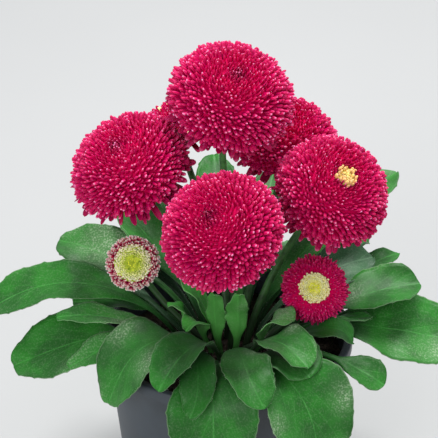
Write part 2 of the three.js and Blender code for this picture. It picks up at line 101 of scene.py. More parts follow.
# A head's centre, tilt and facing, its radius, its height above and below its centre, and how
# far its stalk leans out from the crown
Head = namedtuple(
    "Head", "name ring centre tilt facing radius up down lean bud", defaults=(12, False)
)
HEADS = [
    Head("bloom_top", "core", (1.3, 24.7, 179.7), 25, 295, 25.8, 17.5, 13),
    Head("bloom_front", "core", (-2.1, -20, 146.4), 39, 239, 24.9, 17.5, 12),
    Head("bloom_left", "inner", (-38.1, 15.3, 154.5), 30, 222, 25, 16.5, 11.5),
    Head("bloom_right", "inner", (40.5, 7.9, 147.6), 39, 303, 23.7, 17, 12),
    Head("bloom_back_right", "inner", (23.2, 49.4, 147.6), 15, 280, 22.3, 14.5, 9.5),
    Head("bloom_back_left", "inner", (-20.5, 60, 146.5), 14, 170, 16.5, 11, 8),
    Head("bud_left", "inner", (-37.3, 3.2, 117.8), 58, 270, 11.3, 6, 6, 58, True),
    Head("bud_right", "inner", (34.3, 0.3, 107.6), 53, 268, 14.3, 6.5, 6.5, 55, True),
]

# What stands on a head: a band of petals or florets between two angles from its apex, for one
# of the head's CAD nodes, with how far out its roots and tips are as shares of the head's size
Band = namedtuple("Band", "node count first last root reach half_width uneven splay petals finish")
BANDS = {
    "bloom_top": [
        Band("petals", 1250, 0, 104, 0.7, 1, 0.84, 0.06, 6, "quills", "Petals"),
        Band("petals", 66, 99, 118, 0.3, 1.1, 1.45, 0.1, 11, "straps", "Rays"),
    ],
    "bloom_front": [
        Band("petals", 1200, 0, 106, 0.7, 1, 0.82, 0.04, 5, "quills", "Petals"),
        Band("petals", 60, 102, 120, 0.3, 1.04, 1.25, 0.06, 8, "straps", "Rays"),
    ],
    "bloom_left": [
        Band("petals", 1150, 0, 102, 0.7, 1, 0.84, 0.06, 7, "quills", "Petals"),
        Band("petals", 68, 96, 120, 0.3, 1.13, 1.4, 0.13, 13, "straps", "Rays"),
    ],
    "bloom_right": [
        Band("petals", 1120, 12, 106, 0.7, 1, 0.82, 0.05, 6, "quills", "Petals"),
        Band("petals", 62, 101, 118, 0.3, 1.09, 1.45, 0.09, 10, "straps", "Rays"),
        Band("tuft", 60, 0, 12, 0.6, 1, 0.8, 0.04, 9, "florets", "Tuft"),
    ],
    "bloom_back_right": [
        Band("petals", 800, 0, 102, 0.7, 1, 0.86, 0.06, 7, "quills", "Petals"),
        Band("petals", 54, 97, 118, 0.3, 1.1, 1.4, 0.12, 12, "straps", "Rays"),
    ],
    "bloom_back_left": [
        Band("petals", 460, 0, 98, 0.68, 1, 0.8, 0.08, 9, "quills", "Petals"),
        Band("petals", 44, 93, 118, 0.3, 1.12, 1.3, 0.12, 13, "straps", "Rays"),
        Band("petals", 20, 26, 88, 0.6, 1.03, 1.9, 0.03, 10, "straps", "Cream Florets"),
    ],
    "bud_left": [
        Band("petals", 430, 48, 110, 0.55, 1, 0.48, 0.07, 11, "curled", "Bud Petals"),
        Band("centre", 270, 19, 50, 0.6, 0.96, 0.5, 0.05, 6, "florets", "Florets"),
        Band("centre", 34, 0, 12, 0.6, 0.9, 0.5, 0.03, 5, "buttons", "Button"),
    ],
    "bud_right": [
        Band("petals", 560, 26, 108, 0.7, 0.98, 0.5, 0.07, 12, "pointed", "Petals"),
        Band("petals", 70, 92, 112, 0.4, 1.03, 0.8, 0.1, 10, "straps", "Rays"),
        Band("centre", 230, 13, 30, 0.6, 0.98, 0.46, 0.03, 5, "florets", "Cream Florets"),
        Band("centre", 40, 0, 11, 0.6, 0.94, 0.44, 0.03, 4, "buttons", "Button"),
    ],
}

# The cross-section of a petal in half-widths: an open trough, or a quill rolled almost shut
TROUGH = [(-1, 0.3), (-0.5, -0.35), (0.5, -0.35), (1, 0.3), (0.5, 0.1), (-0.5, 0.1)]
ROLLED = [(-1, 0.1), (-0.55, -0.6), (0.55, -0.6), (1, 0.1), (0.45, 0.55), (-0.45, 0.55)]

# The outline of one petal: half-widths at stations from root to tip, how far the tip curls
# towards the head's axis, and its cross-section
Outline = namedtuple("Outline", "stations widths curl section")
QUILL_STATIONS = (0, 0.45, 0.7, 0.88, 0.97, 1)
FLORET_STATIONS = (0, 0.55, 0.78, 0.9, 0.97, 1)
OUTLINES = {
    "young": Outline(QUILL_STATIONS, (0.8, 1, 0.95, 0.78, 0.5, 0.22), 2.2, ROLLED),
    "quill": Outline(QUILL_STATIONS, (0.75, 0.95, 1, 0.84, 0.54, 0.24), 0.9, ROLLED),
    "open": Outline(QUILL_STATIONS, (0.75, 0.95, 1, 0.9, 0.62, 0.3), 0, ROLLED),
    "strap": Outline((0, 0.35, 0.65, 0.86, 0.96, 1), (0.4, 0.75, 1, 1, 0.75, 0.35), -1, TROUGH),
    "curl": Outline((0, 0.45, 0.65, 0.85, 0.96, 1), (0.5, 0.8, 1, 0.95, 0.8, 0.4), 2.6, TROUGH),
    "point": Outline((0, 0.4, 0.65, 0.84, 0.95, 1), (0.6, 0.9, 1, 0.75, 0.4, 0.15), 0.4, ROLLED),
    "floret": Outline(FLORET_STATIONS, (0.7, 0.85, 1, 0.9, 0.65, 0.35), 1.2, ROLLED),
    "button": Outline(FLORET_STATIONS, (0.7, 1, 1, 0.85, 0.6, 0.3), 0.4, ROLLED),
}
# The outlines that a band goes through from its inmost petals to its outmost
PETAL_ZONES = ("Inner Petal", "Middle Petal", "Outer Petal")
PETAL_SETS = {
    "quills": ("young", "quill", "open"),
    "straps": ("strap",) * 3,
    "curled": ("curl",) * 3,
    "pointed": ("quill", "point", "point"),
    "florets": ("floret",) * 3,
    "buttons": ("button",) * 3,
}
# Petals crowd a little towards the apex, a share of them is shorter than the rest, their girth
# varies, and their zones begin at these shares of the band with a blurred border
PETAL_CROWDING = 1.25
SHORT_PETALS = 0.42
SHORT_BY = 0.05
PETAL_GIRTHS = (0.88, 1.12)
ZONE_STARTS = (0.25, 0.75)
ZONE_BLUR = 0.12

# The heart under the petals, the cup and the bracts, as shares of the head's radius; the heart
# stands this much above the roots of the petals or florets, and ends at this angle
HEART_STEPS = 14
HEART_LAST = 100
HEART_FOOT = 0.24
HEART_NECK = 0.26
HEART_OVER_PETALS = 0.13
HEART_OVER_FLORETS = 0.28
HEART_SIDES = 32
CUP_DEPTH = 0.26
CUP_RADIUS = 0.3
BRACT_COUNT = 13
BRACT_REACH = 0.52
BRACT_SECTION = ((-1, 0.3), (0, -0.36), (1, 0.3), (0, 0.3))

# The stalks: their radii, rings and sides, and how they are wider at the foot, taper and are
# ribbed, as shares of the radius
STALK_RADIUS = 1.4
BUD_STALK_RADIUS = 1.2
STALK_RINGS = 32
STALK_SIDES = 12
STALK_GIRTH = 1.08
STALK_TAPER = 0.12
STALK_RIBS = 3
RIB_DEPTH = 0.05

# A leaf has a ring, a bearing, the reach and height of its tip, its width and the slope of its
# midrib at the tip, and then what differs from these: how its stalk leans and lifts, how early
# it bends to its tip, its cup, roll, sway and wave, and where its stalk ends and it is widest.
# The dressed leaf alone has the rest: how far from the root it is painted dark with shade, how
# much painted light and shade scale its colour, how rumpled it is, how far it is raised clear of
# the leaf below, and its whitish spots of down and painted sheen as [place across, share of its
# length, radius]. The stalks of right_rising and right_behind are wider than in the CAD.
LEAF_FORM = dict(
    lean=25, lift=17, lead=0.42, cup=0.2, roll=0, sway=0, wave=0.8, stalk=0.24, widest=0.68,
    foot=42, shade=1, rumple=1.3, raised=0, patches=(),
)
Leaf = namedtuple(
    "Leaf",
    ["name", "ring", "bearing", "reach", "tip", "width", "pitch", *LEAF_FORM],
    defaults=LEAF_FORM.values(),
)
LEAVES = [
    Leaf("front_hanging", "outer", 264.5, 56, 66, 35, -100,
         lean=30, lift=26, lead=0.9, foot=58, shade=0.94),
    Leaf("front_right_hanging", "outer", 305, 61, 60, 38, -88, lean=35, lift=28, lead=0.85,
         widest=0.62, foot=50, patches=((0.85, 0.72, 5), (-0.9, 0.64, 5))),
    Leaf("front_shaded", "outer", 256.5, 62, 88.5, 14, -32,
         lean=26, lift=34, sway=-25, foot=85, shade=0.85),
    Leaf("front_folded", "middle", 244.5, 60, 96, 17, -35, lean=32, lift=30, cup=0.6,
         foot=78, rumple=0.2, raised=1.4, patches=((0.6, 0.5, 3.5),)),
    Leaf("front_left_broad", "middle", 218, 59, 78, 29, -72,
         lean=40, lift=37, lead=0.75, sway=-6, widest=0.58, foot=66, shade=0.94, rumple=0.5,
         raised=-0.2, patches=((-0.85, 0.64, 5), (0.7, 0.62, 7))),
    Leaf("front_centre", "middle", 283, 61, 92.5, 19, -35,
         lean=28, lift=26, sway=22, foot=60, shade=0.84, patches=((0.85, 0.5, 4),)),
    Leaf("front_glossy", "middle", 307.5, 50.4, 97.2, 19, -25, lean=32, lift=26, cup=0.4,
         shade=0.95, patches=((-0.1, 0.44, 5), (0.85, 0.62, 3))),
    Leaf("front_right_round", "outer", 307, 52, 94, 25, -30,
         lean=32, lift=22, foot=56, shade=0.8),
    Leaf("right_small", "outer", 332, 69, 84.3, 14, -25,
         stalk=0.6, widest=0.82, roll=15, shade=0.9),
    Leaf("right_under_bud", "outer", 347, 51, 90, 15, -60, lift=10.5, lean=48, lead=0.5),
    Leaf("right_long", "outer", 2, 96, 80, 34, -15,
         roll=28, stalk=0.2, widest=0.66, foot=50, shade=0.96, patches=((-0.5, 0.86, 6),)),
    Leaf("right_curled", "middle", 362, 58, 93, 8, -5, lean=46, lift=14, stalk=0.64, widest=0.84),
    Leaf("right_rising", "middle", 11, 79, 101, 23, 0, roll=15, lean=54, lift=16,
         stalk=0.39, widest=0.75, foot=48, shade=0.8, patches=((0.3, 0.6, 5),)),
    Leaf("right_grey", "middle", 29, 68, 102, 20, -8, roll=25),
    Leaf("right_pointed", "outer", 33, 85, 96, 12, 0),
    Leaf("right_behind", "middle", 41, 93, 126, 20, 15, lift=20, stalk=0.04),
    Leaf("left_upper", "middle", 188, 68, 100.5, 12, -12,
         roll=-10, lift=14, lean=40, shade=1.15, patches=((0.5, 0.6, 4),)),
    Leaf("left_shaded", "outer", 171, 63, 95, 14, -12, roll=-10, lean=35, lift=14),
    Leaf("left_grey", "middle", 157, 56, 102, 11, 0, lean=46.8, lift=16, stalk=0.48, widest=0.75),
    Leaf("left_long", "outer", 174, 100, 88, 21, -42,
         roll=-25, lift=21, stalk=0.17, widest=0.6, sway=8, lead=0.6, shade=0.92),
    Leaf("left_back", "middle", 150, 80, 106, 25, -5,
         roll=-20, lift=26, lean=20, stalk=0.35, shade=0.8, patches=((-0.4, 0.7, 14),)),
    Leaf("left_back_grey", "outer", 139, 66, 107, 15, 10, roll=-15),
    Leaf("left_behind", "middle", 133, 67, 119, 18, 20),
    Leaf("left_low", "outer", 184, 86, 75, 31, -28,
         roll=-24, lift=22, lean=26, stalk=0.34, widest=0.62),
    Leaf("left_narrow", "outer", 199.5, 66, 85, 13, -33,
         roll=-10, lift=28, lean=32, patches=((0.8, 0.6, 4),)),
    Leaf("inner_arched", "middle", 186, 24, 102, 7, -10, foot=16, shade=1.15),
    Leaf("inner_curled", "inner", 227, 24, 99.5, 10, -20,
         foot=16, shade=1.1, patches=((0, 0.6, 4),)),
    Leaf("inner_hairy", "middle", 330, 30, 103, 17, -5,
         foot=24, shade=0.95, patches=((0.3, 0.75, 7),)),
    Leaf("inner_upright_right", "inner", 286, 14, 114, 9, 75, foot=16, patches=((0.6, 0.8, 3),)),
    Leaf("inner_upright_left", "inner", 247, 14.3, 114, 8, 75, foot=16, shade=0.9),
    Leaf("inner_left", "core", 160, 22, 113, 12, 35, foot=16, shade=1.15),
    Leaf("back_upper_right", "middle", 76, 82, 115, 20, 10),
    Leaf("back_upper", "middle", 94, 80, 124, 20, 20),
    Leaf("back_upper_left", "middle", 116, 80, 112, 20, 8),
    Leaf("back_low_right", "outer", 50, 88, 92, 26, -15),
    Leaf("back_hanging_right", "outer", 72, 78, 84, 26, -35),
    Leaf("back_low", "outer", 98, 88, 92, 26, -15),
    Leaf("back_hanging_left", "outer", 122, 84, 84, 26, -30),
]

# The blades: half the width and height of what is thin, the grid of points and how it crowds,
# the frill, teeth and rumples of the margin, the veins, and the midrib's groove
BLADE_STALK_HALF = 1.3
BLADE_ROWS = 84
BLADE_COLUMNS = 12
BLADE_CROWDING = 1.35
COLUMN_CROWDING = 0.85
BLADE_TOP = 0.28
FRILL_START = 2.4
FRILL_RATE = 19.2
FRILL_SPACING = 1.3
FRILL_LAG = 1.7
TOOTH_SPACING = 7.5
TOOTH_HEIGHT = 0.45
TOOTH_WIDTH = 0.6
RUMPLE_SIZE = 9
VEIN_SLOPE = 2.6
VEIN_SPACING = 11
QUILT_DEPTH = 0.3
GROOVE_DEPTH = 0.4
GROOVE_WIDTH = 0.7
# The hairs: how many stand on a square metre, their thickness in metres, their lean, and from
# which share of the half-width they stand; random turns are of almost a whole turn
HAIR_DENSITY = 260000
HAIR_THICKNESS = 0.00003
HAIR_LEAN = 0.7
HAIRY_MARGIN = 0.9
WHOLE_TURN = 6.2

# Petals' finishes: colours from root to tip as [place, colour or share of the crimson], how
# strongly painted highlights tint their tips, ridges and edges, the colour of the outer ones, and
# how light scatters in them; the base is the plain colour of a viewer that shows no ramp
PETAL_BASE = (0.4, 0.01, 0.05)
PALE_SCATTER = (1, 1, 0.5)
PETAL_FINISHES = {
    "Petals": (((0, 0.85), (0.6, 0.95), (0.9, 1)), 1),
    # The rim's straps: the crimson darkened as painted shade under the dome, with fainter painted
    # highlights
    "Rays": (((0, 0.4), (0.9, 0.68)), 0.35),
    "Bud Petals": (
        (
            (0, (0.24, 0, 0.025)), (0.73, (0.45, 0, 0.05)),
            (0.86, (0.86, 0.21, 0.27)), (0.94, (1, 0.79, 0.71)),
        ),
    ),
    "Florets": (
        (
            (0, (0.3, 0.42, 0.03)), (0.6, (0.55, 0.7, 0.05)),
            (0.88, (0.85, 0.92, 0.16)), (1, (0.95, 0.95, 0.3)),
        ),
        0, (1, 0.95, 0.6), PALE_SCATTER,
    ),
    "Cream Florets": (
        ((0, (0.95, 0.78, 0.12)), (0.6, (1, 0.96, 0.28)), (1, (1, 1, 0.5))),
        0, (1, 0.91, 0.48), PALE_SCATTER,
    ),
    "Button": (
        (
            (0, (0.2, 0.34, 0.01)), (0.6, (0.6, 0.75, 0.02)),
            (0.9, (0.85, 0.9, 0.03)), (1, (0.95, 0.95, 0.06)),
        ),
        0, None, PALE_SCATTER,
    ),
    "Tuft": (
        (
            (0, (0.7, 0.2, 0.06)), (0.45, (0.9, 0.5, 0.1)),
            (0.8, (0.98, 0.72, 0.16)), (1, (1, 0.84, 0.3)),
        ),
        0, (0.96, 0.56, 0.24), PALE_SCATTER,
    ),
}
# A leaf's light and deep green, the whitish colour of its down, rim and painted sheen, and its
# underside; a text names the user's own colour
LEAF_FINISHES = {
    "Leaf": ("leaves.green", (0.018, 0.12, 0.016), (0.4, 0.55, 0.34), (0.05, 0.15, 0.045)),
    # The inner leaves' green, lighter as painted light against the crown's shade
    "Young Leaf": ((0.07, 0.4, 0.05), (0.04, 0.24, 0.03), (0.5, 0.62, 0.42), (0.08, 0.3, 0.06)),
    "Grey Leaf": ("leaves.grey_green", (0.03, 0.09, 0.04), (0.42, 0.5, 0.4), (0.09, 0.18, 0.09)),
}
# Mottled finishes: the base colour, roughness and specular level, the spots' scale, detail and
# roughness, their stops of [place, colour or share of the base], and for a grain its spots,
# strength and depth
HEART_SPOTS = (700,)
MOTTLED_FINISHES = {
    "Heart": ((0.48, 0, 0.06), 0.7, 0.05, HEART_SPOTS, ((0.3, 1), (0.7, (0.68, 0, 0.09)))),
    "Green Heart": (
        (0.08, 0.17, 0.01), 0.7, 0.05, HEART_SPOTS, ((0.3, 1), (0.7, (0.65, 0.75, 0.06))),
    ),
    "Cream Heart": (
        (0.45, 0.42, 0.04), 0.7, 0.05, HEART_SPOTS, ((0.3, 1), (0.7, (0.95, 0.9, 0.3))),
    ),
    "Stalk": (
        "stalks.green", 0.55, 0.5, (300,), ((0.3, 0.35), (0.7, 1)), ((1500,), 0.3, 0.0002),
    ),
    "Soil": (
        "soil.brown", 0.95, 0.5, (350, 6, 0.7), ((0.3, 0.3), (0.55, 1), (0.75, 2.4)),
        ((900, 6, 0.7), 0.8, 0.0006),
    ),
    "Pot": (
        "pot.grey", 0.5, 0.5, (40, 5, 0.6), ((0.35, 0.8), (0.65, 1.25)), ((2500,), 0.2, 0.0001),
    ),
    "Down": (
        (0.55, 0.62, 0.5), 0.6, 0.5, (200,),
        ((0.3, (0.3, 0.42, 0.25)), (0.7, (0.7, 0.75, 0.65))),
    ),
    "Floor": ("studio.floor", 0.8, 0.5, (4,), ((0.3, 0.97), (0.7, 1))),
}
# The painted shade at the feet of leaves and stalks, and the heights in metres between which a
# stalk's painted shade fades
LEAF_FOOT_SHADE = (0.008, 0.03, 0.01)
STALK_FOOT_SHADE = (0.012, 0.035, 0.01)
STALK_SHADE_FADES = (0.08, 0.125)

# The camera that fits the photograph, whose picture is square
CAMERA_ELEVATION = 31
FOCAL_PIXELS = 2250
IMAGE_PIXELS = 438
RIM_PIXEL = (227.5, 330.5)

# The studio: half the floor's width in millimetres, and in metres what the lights aim at and
# each light's place, share of the key power and width
FLOOR_HALF = 3000
LIGHT_AIM = Vector((0, 0, 0.1))
LIGHTS = {
    "Key": ((0.15, 0.35, 1.1), 1, 0.45),
    "Fill": ((-0.5, -1.1, 0.7), 0.55, 0.6),
}
SKY_COLOUR = (0.93, 0.95, 1)
SKY_STRENGTH = 0.58


def polar(radius, angle, z=0):
    """The place this far out at an angle in radians, at a height."""
    return Vector((radius * cos(angle), radius * sin(angle), z))


def leaning(lean, bearing):
    """A unit vector that leans from upright by an angle towards a bearing."""
    return polar(sin(radians(lean)), radians(bearing), cos(radians(lean)))


def square_to(tangent, level):
    """A level direction turned square to a tangent."""
    return (level - tangent * level.dot(tangent)).normalized()


def mix(a, b, share):
    return a + (b - a) * share


def smooth(x):
    x = min(1.0, max(0.0, x))
    return x * x * (3 - 2 * x)


def settings(family):
    """The user's settings for one family of pieces."""
    return getattr(bpy.context.scene, f"daisy_{family}")


# Meshes and objects


def smooth_mesh(name, vertices, faces, attributes=None):
    """A mesh in millimetres with these attributes on its points."""
    mesh = bpy.data.meshes.new(name)
    mesh.from_pydata(vertices, [], faces)
    for label, values in (attributes or {}).items():
        mesh.attributes.new(label, "FLOAT", "POINT").data.foreach_set("value", values)
    mesh.shade_smooth()
    return mesh


def linked(mesh):
    """An object of the scene with this mesh and its name."""
    obj = bpy.data.objects.new(mesh.name, mesh)
    bpy.context.scene.collection.objects.link(obj)
    return obj


def finished(name, vertices, faces, material=None, attributes=None):
    """A mesh object in metres whose place is in its mesh."""
    mesh = smooth_mesh(name, vertices, faces, attributes)
    mesh.transform(Matrix.Scale(MM, 4))
    if material:
        mesh.materials.append(finish(material))
    mesh.validate()
    return linked(mesh)


def evaluated(obj):
    """The plain mesh that an object's modifiers make."""
    depsgraph = bpy.context.evaluated_depsgraph_get()
    return bpy.data.meshes.new_from_object(
        obj.evaluated_get(depsgraph), preserve_all_data_layers=True, depsgraph=depsgraph
    )


def seat(obj, node):
    """Parents a finished piece to the root body and hides the CAD node that it stands for."""
    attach(obj, "root")
    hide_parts(node)


def lathe(profile, sides):
    """Vertices and faces turned about Z from [radius, height] pairs that start and end on it."""
    vertices, rings = [], []
    for radius, height in profile:
        first = len(vertices)
        if radius == 0:
            rings.append([first] * sides)
            vertices.append((0, 0, height))
            continue
        rings.append(range(first, first + sides))
        for k in range(sides):
            a = 2 * pi * k / sides
            vertices.append((radius * cos(a), radius * sin(a), height))
    faces = []
    for lower, upper in zip(rings, rings[1:]):
        for k in range(sides):
            n = (k + 1) % sides
            faces.append(list(dict.fromkeys((lower[k], lower[n], upper[n], upper[k]))))
    return vertices, faces


def ring_faces(rings, sides):
    """The faces of a closed tube through rings of points."""
    faces = [list(range(sides))[::-1]]
    for low in range(0, (rings - 1) * sides, sides):
        for k in range(sides):
            n = (k + 1) % sides
            faces.append((low + k, low + n, low + sides + n, low + sides + k))
    faces.append(list(range((rings - 1) * sides, rings * sides)))
    return faces


def combined(pieces):
    """The vertices and faces of several pieces as those of one."""
    vertices, faces = [], []
    for piece_vertices, piece_faces in pieces:
        first = len(vertices)
        vertices += piece_vertices
        faces += [[first + i for i in face] for face in piece_faces]
    return vertices, faces


class Arch:
    """A cubic Bezier curve measured by its length."""

    STEPS = 160

    def __init__(self, *corners):
        self.corners = corners
        points = [self.at(i / self.STEPS) for i in range(self.STEPS + 1)]
        spans = [(b - a).length for a, b in zip(points, points[1:])]
        self.lengths = np.concatenate(([0], np.cumsum(spans)))
        self.length = float(self.lengths[-1])

    def at(self, t):
        a, b, c, d = self.corners
        s = 1 - t
        return a * s**3 + b * (3 * s * s * t) + c * (3 * s * t * t) + d * t**3

    def heading(self, t):
        a, b, c, d = self.corners
        s = 1 - t
        return ((b - a) * (s * s) + (c - b) * (2 * s * t) + (d - c) * (t * t)).normalized()

    def place(self, share):
        """The point at this share of the length, and the direction there."""
        steps = np.linspace(0, 1, self.STEPS + 1)
        t = float(np.interp(share * self.length, self.lengths, steps))
        return self.at(t), self.heading(t)


# The crown


def soil_height(radius):
    if radius < SOIL_SHOULDER_RADIUS:
        return mix(SOIL_CROWN, SOIL_SHOULDER, radius / SOIL_SHOULDER_RADIUS)
    share = (radius - SOIL_SHOULDER_RADIUS) / (SOIL_RIM - SOIL_SHOULDER_RADIUS)
    return mix(SOIL_SHOULDER, SOIL_EDGE, min(1, share))


def bearing_of(part):
    """A leaf's bearing, or that of a head's centre."""
    if isinstance(part, Leaf):
        return part.bearing
    return degrees(atan2(part.centre[1], part.centre[0])) % 360


def crown_roots():
    """Where each stem and leaf stalk leaves the soil: its place, bearing and direction."""
    roots = {}
    for ring, (radius, first) in RINGS.items():
        members = sorted((p for p in [*HEADS, *LEAVES] if p.ring == ring), key=bearing_of)
        for i, member in enumerate(members):
            bearing = first + 360 * i / len(members)
            place = polar(radius, radians(bearing), soil_height(radius))
            roots[member.name] = (place, bearing, leaning(ROOT_LEAN, bearing))
    return roots


ROOTS = crown_roots()


# Node trees


class Value:
    """What a node's socket gives, with plain arithmetic on it."""

    def __init__(self, socket):
        self.socket = socket
        self.tree = socket.id_data

    def math(self, operation, *values):
        """The result of one Math node on this value and others."""
        node = add(self.tree, "ShaderNodeMath", operation=operation)
        for socket, value in zip(node.inputs, (self, *values)):
            wire(socket, value)
        return Value(node.outputs[0])

    __add__ = partialmethod(math, "ADD")
    __sub__ = partialmethod(math, "SUBTRACT")
    __mul__ = partialmethod(math, "MULTIPLY")
    __truediv__ = partialmethod(math, "DIVIDE")
    __gt__ = partialmethod(math, "GREATER_THAN")
    __lt__ = partialmethod(math, "LESS_THAN")
    __abs__ = partialmethod(math, "ABSOLUTE")

    def scaled(self, factor):
        """This vector or colour times a value."""
        inputs = {0: self, "Scale": factor}
        return made(self.tree, "ShaderNodeVectorMath", inputs, operation="SCALE")

    def height(self):
        """The Z of this vector."""
        return made(self.tree, "ShaderNodeSeparateXYZ", {0: self}, "Z")


def wire(socket, value):
    """Links a value to a socket, or sets it on the socket; colours have three parts."""
    if isinstance(value, Value):
        socket.id_data.links.new(value.socket, socket)
    else:
        socket.default_value = (*value, 1) if socket.type == "RGBA" else value


def shown(sockets, key):
    """A socket by its place, or else the first of that name that the node shows."""
    if isinstance(key, int):
        return sockets[key]
    return next(s for s in sockets if s.enabled and s.name == key)


def add(tree, kind, inputs=None, **options):
    """A node of a tree with its options and inputs."""
    node = tree.nodes.new(kind)
    for key, value in options.items():
        setattr(node, key, value)
    for key, value in (inputs or {}).items():
        wire(shown(node.inputs, key), value)
    return node


def made(tree, kind, inputs=None, output=0, **options):
    """What a new node gives at one of its outputs."""
    return Value(shown(add(tree, kind, inputs, **options).outputs, output))


def vector(x, y, z):
    return made(x.tree, "ShaderNodeCombineXYZ", {0: x, 1: y, 2: z})


def between(value, low, high):
    """0 below low and 1 above high, with a soft step between."""
    inputs = {"Value": value, "From Min": low, "From Max": high}
    return made(value.tree, "ShaderNodeMapRange", inputs, interpolation_type="SMOOTHSTEP")


def random_value(tree, kind, **inputs):
    inputs = {key.replace("_", " "): value for key, value in inputs.items()}
    return made(tree, "FunctionNodeRandomValue", inputs, "Value", data_type=kind)


def joined(*parts):
    """Several geometries as one."""
    node = add(parts[0].tree, "GeometryNodeJoinGeometry")
    for part in parts:
        wire(node.inputs[0], part)
    return Value(node.outputs[0])


def turned(rotation, angles):
    """A rotation turned about its own axes."""
    turn = made(rotation.tree, "FunctionNodeEulerToRotation", {0: angles})
    inputs = {"Rotation": rotation, "Rotate By": turn}
    return made(rotation.tree, "FunctionNodeRotateRotation", inputs, rotation_space="LOCAL")


def scattered(given, selection):
    """Random points on a tree's given faces, and the rotations that stand upright on them."""
    inputs = {
        "Mesh": given["Geometry"],
        "Selection": selection,
        "Density": given["Density"],
        "Seed": given["Seed"],
    }
    node = add(selection.tree, "GeometryNodeDistributePointsOnFaces", inputs)
    return Value(node.outputs["Points"]), Value(node.outputs["Rotation"])


def on_points(part, points, rotation, size, selection=True):
    """Instances of a part on points."""
    part = {"Object": part, "As Instance": True}
    inputs = {
        "Points": points,
        "Selection": selection,
        "Instance": made(points.tree, "GeometryNodeObjectInfo", part, "Geometry"),
        "Rotation": rotation,
        "Scale": size,
    }
    return made(points.tree, "GeometryNodeInstanceOnPoints", inputs)


def new_tree(name, **inputs):
    """A Geometry Nodes tree with these names for its inputs of each kind, and its inputs."""
    tree = bpy.data.node_groups.new(name, "GeometryNodeTree")
    for way in ("INPUT", "OUTPUT"):
        tree.interface.new_socket("Geometry", in_out=way, socket_type="NodeSocketGeometry")
    for kind, labels in inputs.items():
        for label in labels:
            tree.interface.new_socket(label, in_out="INPUT", socket_type=f"NodeSocket{kind}")
    return tree, {s.name: Value(s) for s in add(tree, "NodeGroupInput").outputs}


def finish_tree(given, instances):
    """Makes the instances real, dresses them and joins them with the base geometry."""
    tree = instances.tree
    real = made(tree, "GeometryNodeRealizeInstances", {"Geometry": instances})
    inputs = {"Geometry": real, "Material": given["Finish"]}
    dressed = made(tree, "GeometryNodeSetMaterial", inputs)
    add(tree, "NodeGroupOutput", {0: joined(dressed, given["Geometry"])})
    return tree


def grown(mesh, tree, values):
    """The plain mesh that a tree makes on a base mesh."""
    base = bpy.data.objects.new("base", mesh)
    modifier = base.modifiers.new(tree.name, "NODES")
    modifier.node_group = tree
    for item in tree.interface.items_tree:
        if item.in_out == "INPUT" and item.name in values:
            value = values[item.name]
            is_float = item.socket_type == "NodeSocketFloat"
            modifier[item.identifier] = float(value) if is_float else value
    bpy.context.scene.collection.objects.link(base)
    mesh = evaluated(base)
    bpy.data.objects.remove(base)
    return mesh


def hidden_part(name, *mesh_data):
    """An unlinked object that a tree instances, in millimetres."""
    return bpy.data.objects.new(name, smooth_mesh(name, *mesh_data))


# Petals


def petal_part(kind):
    """One petal: a closed blade from 0 to 1 along +Z, one half-width wide, open towards +Y."""
    stations, widths, curl, section = OUTLINES[kind]
    vertices = [
        (x * width, y * width + curl * station**2, station)
        for station, width in zip(stations, widths)
        for x, y in section
    ]
    marks = {
        "along": [station for station in stations for _ in section],
        "across": [x for _ in stations for x, _ in section],
    }
    faces = ring_faces(len(stations), len(section))
    return hidden_part(f"petal_{kind}", vertices, faces, marks)


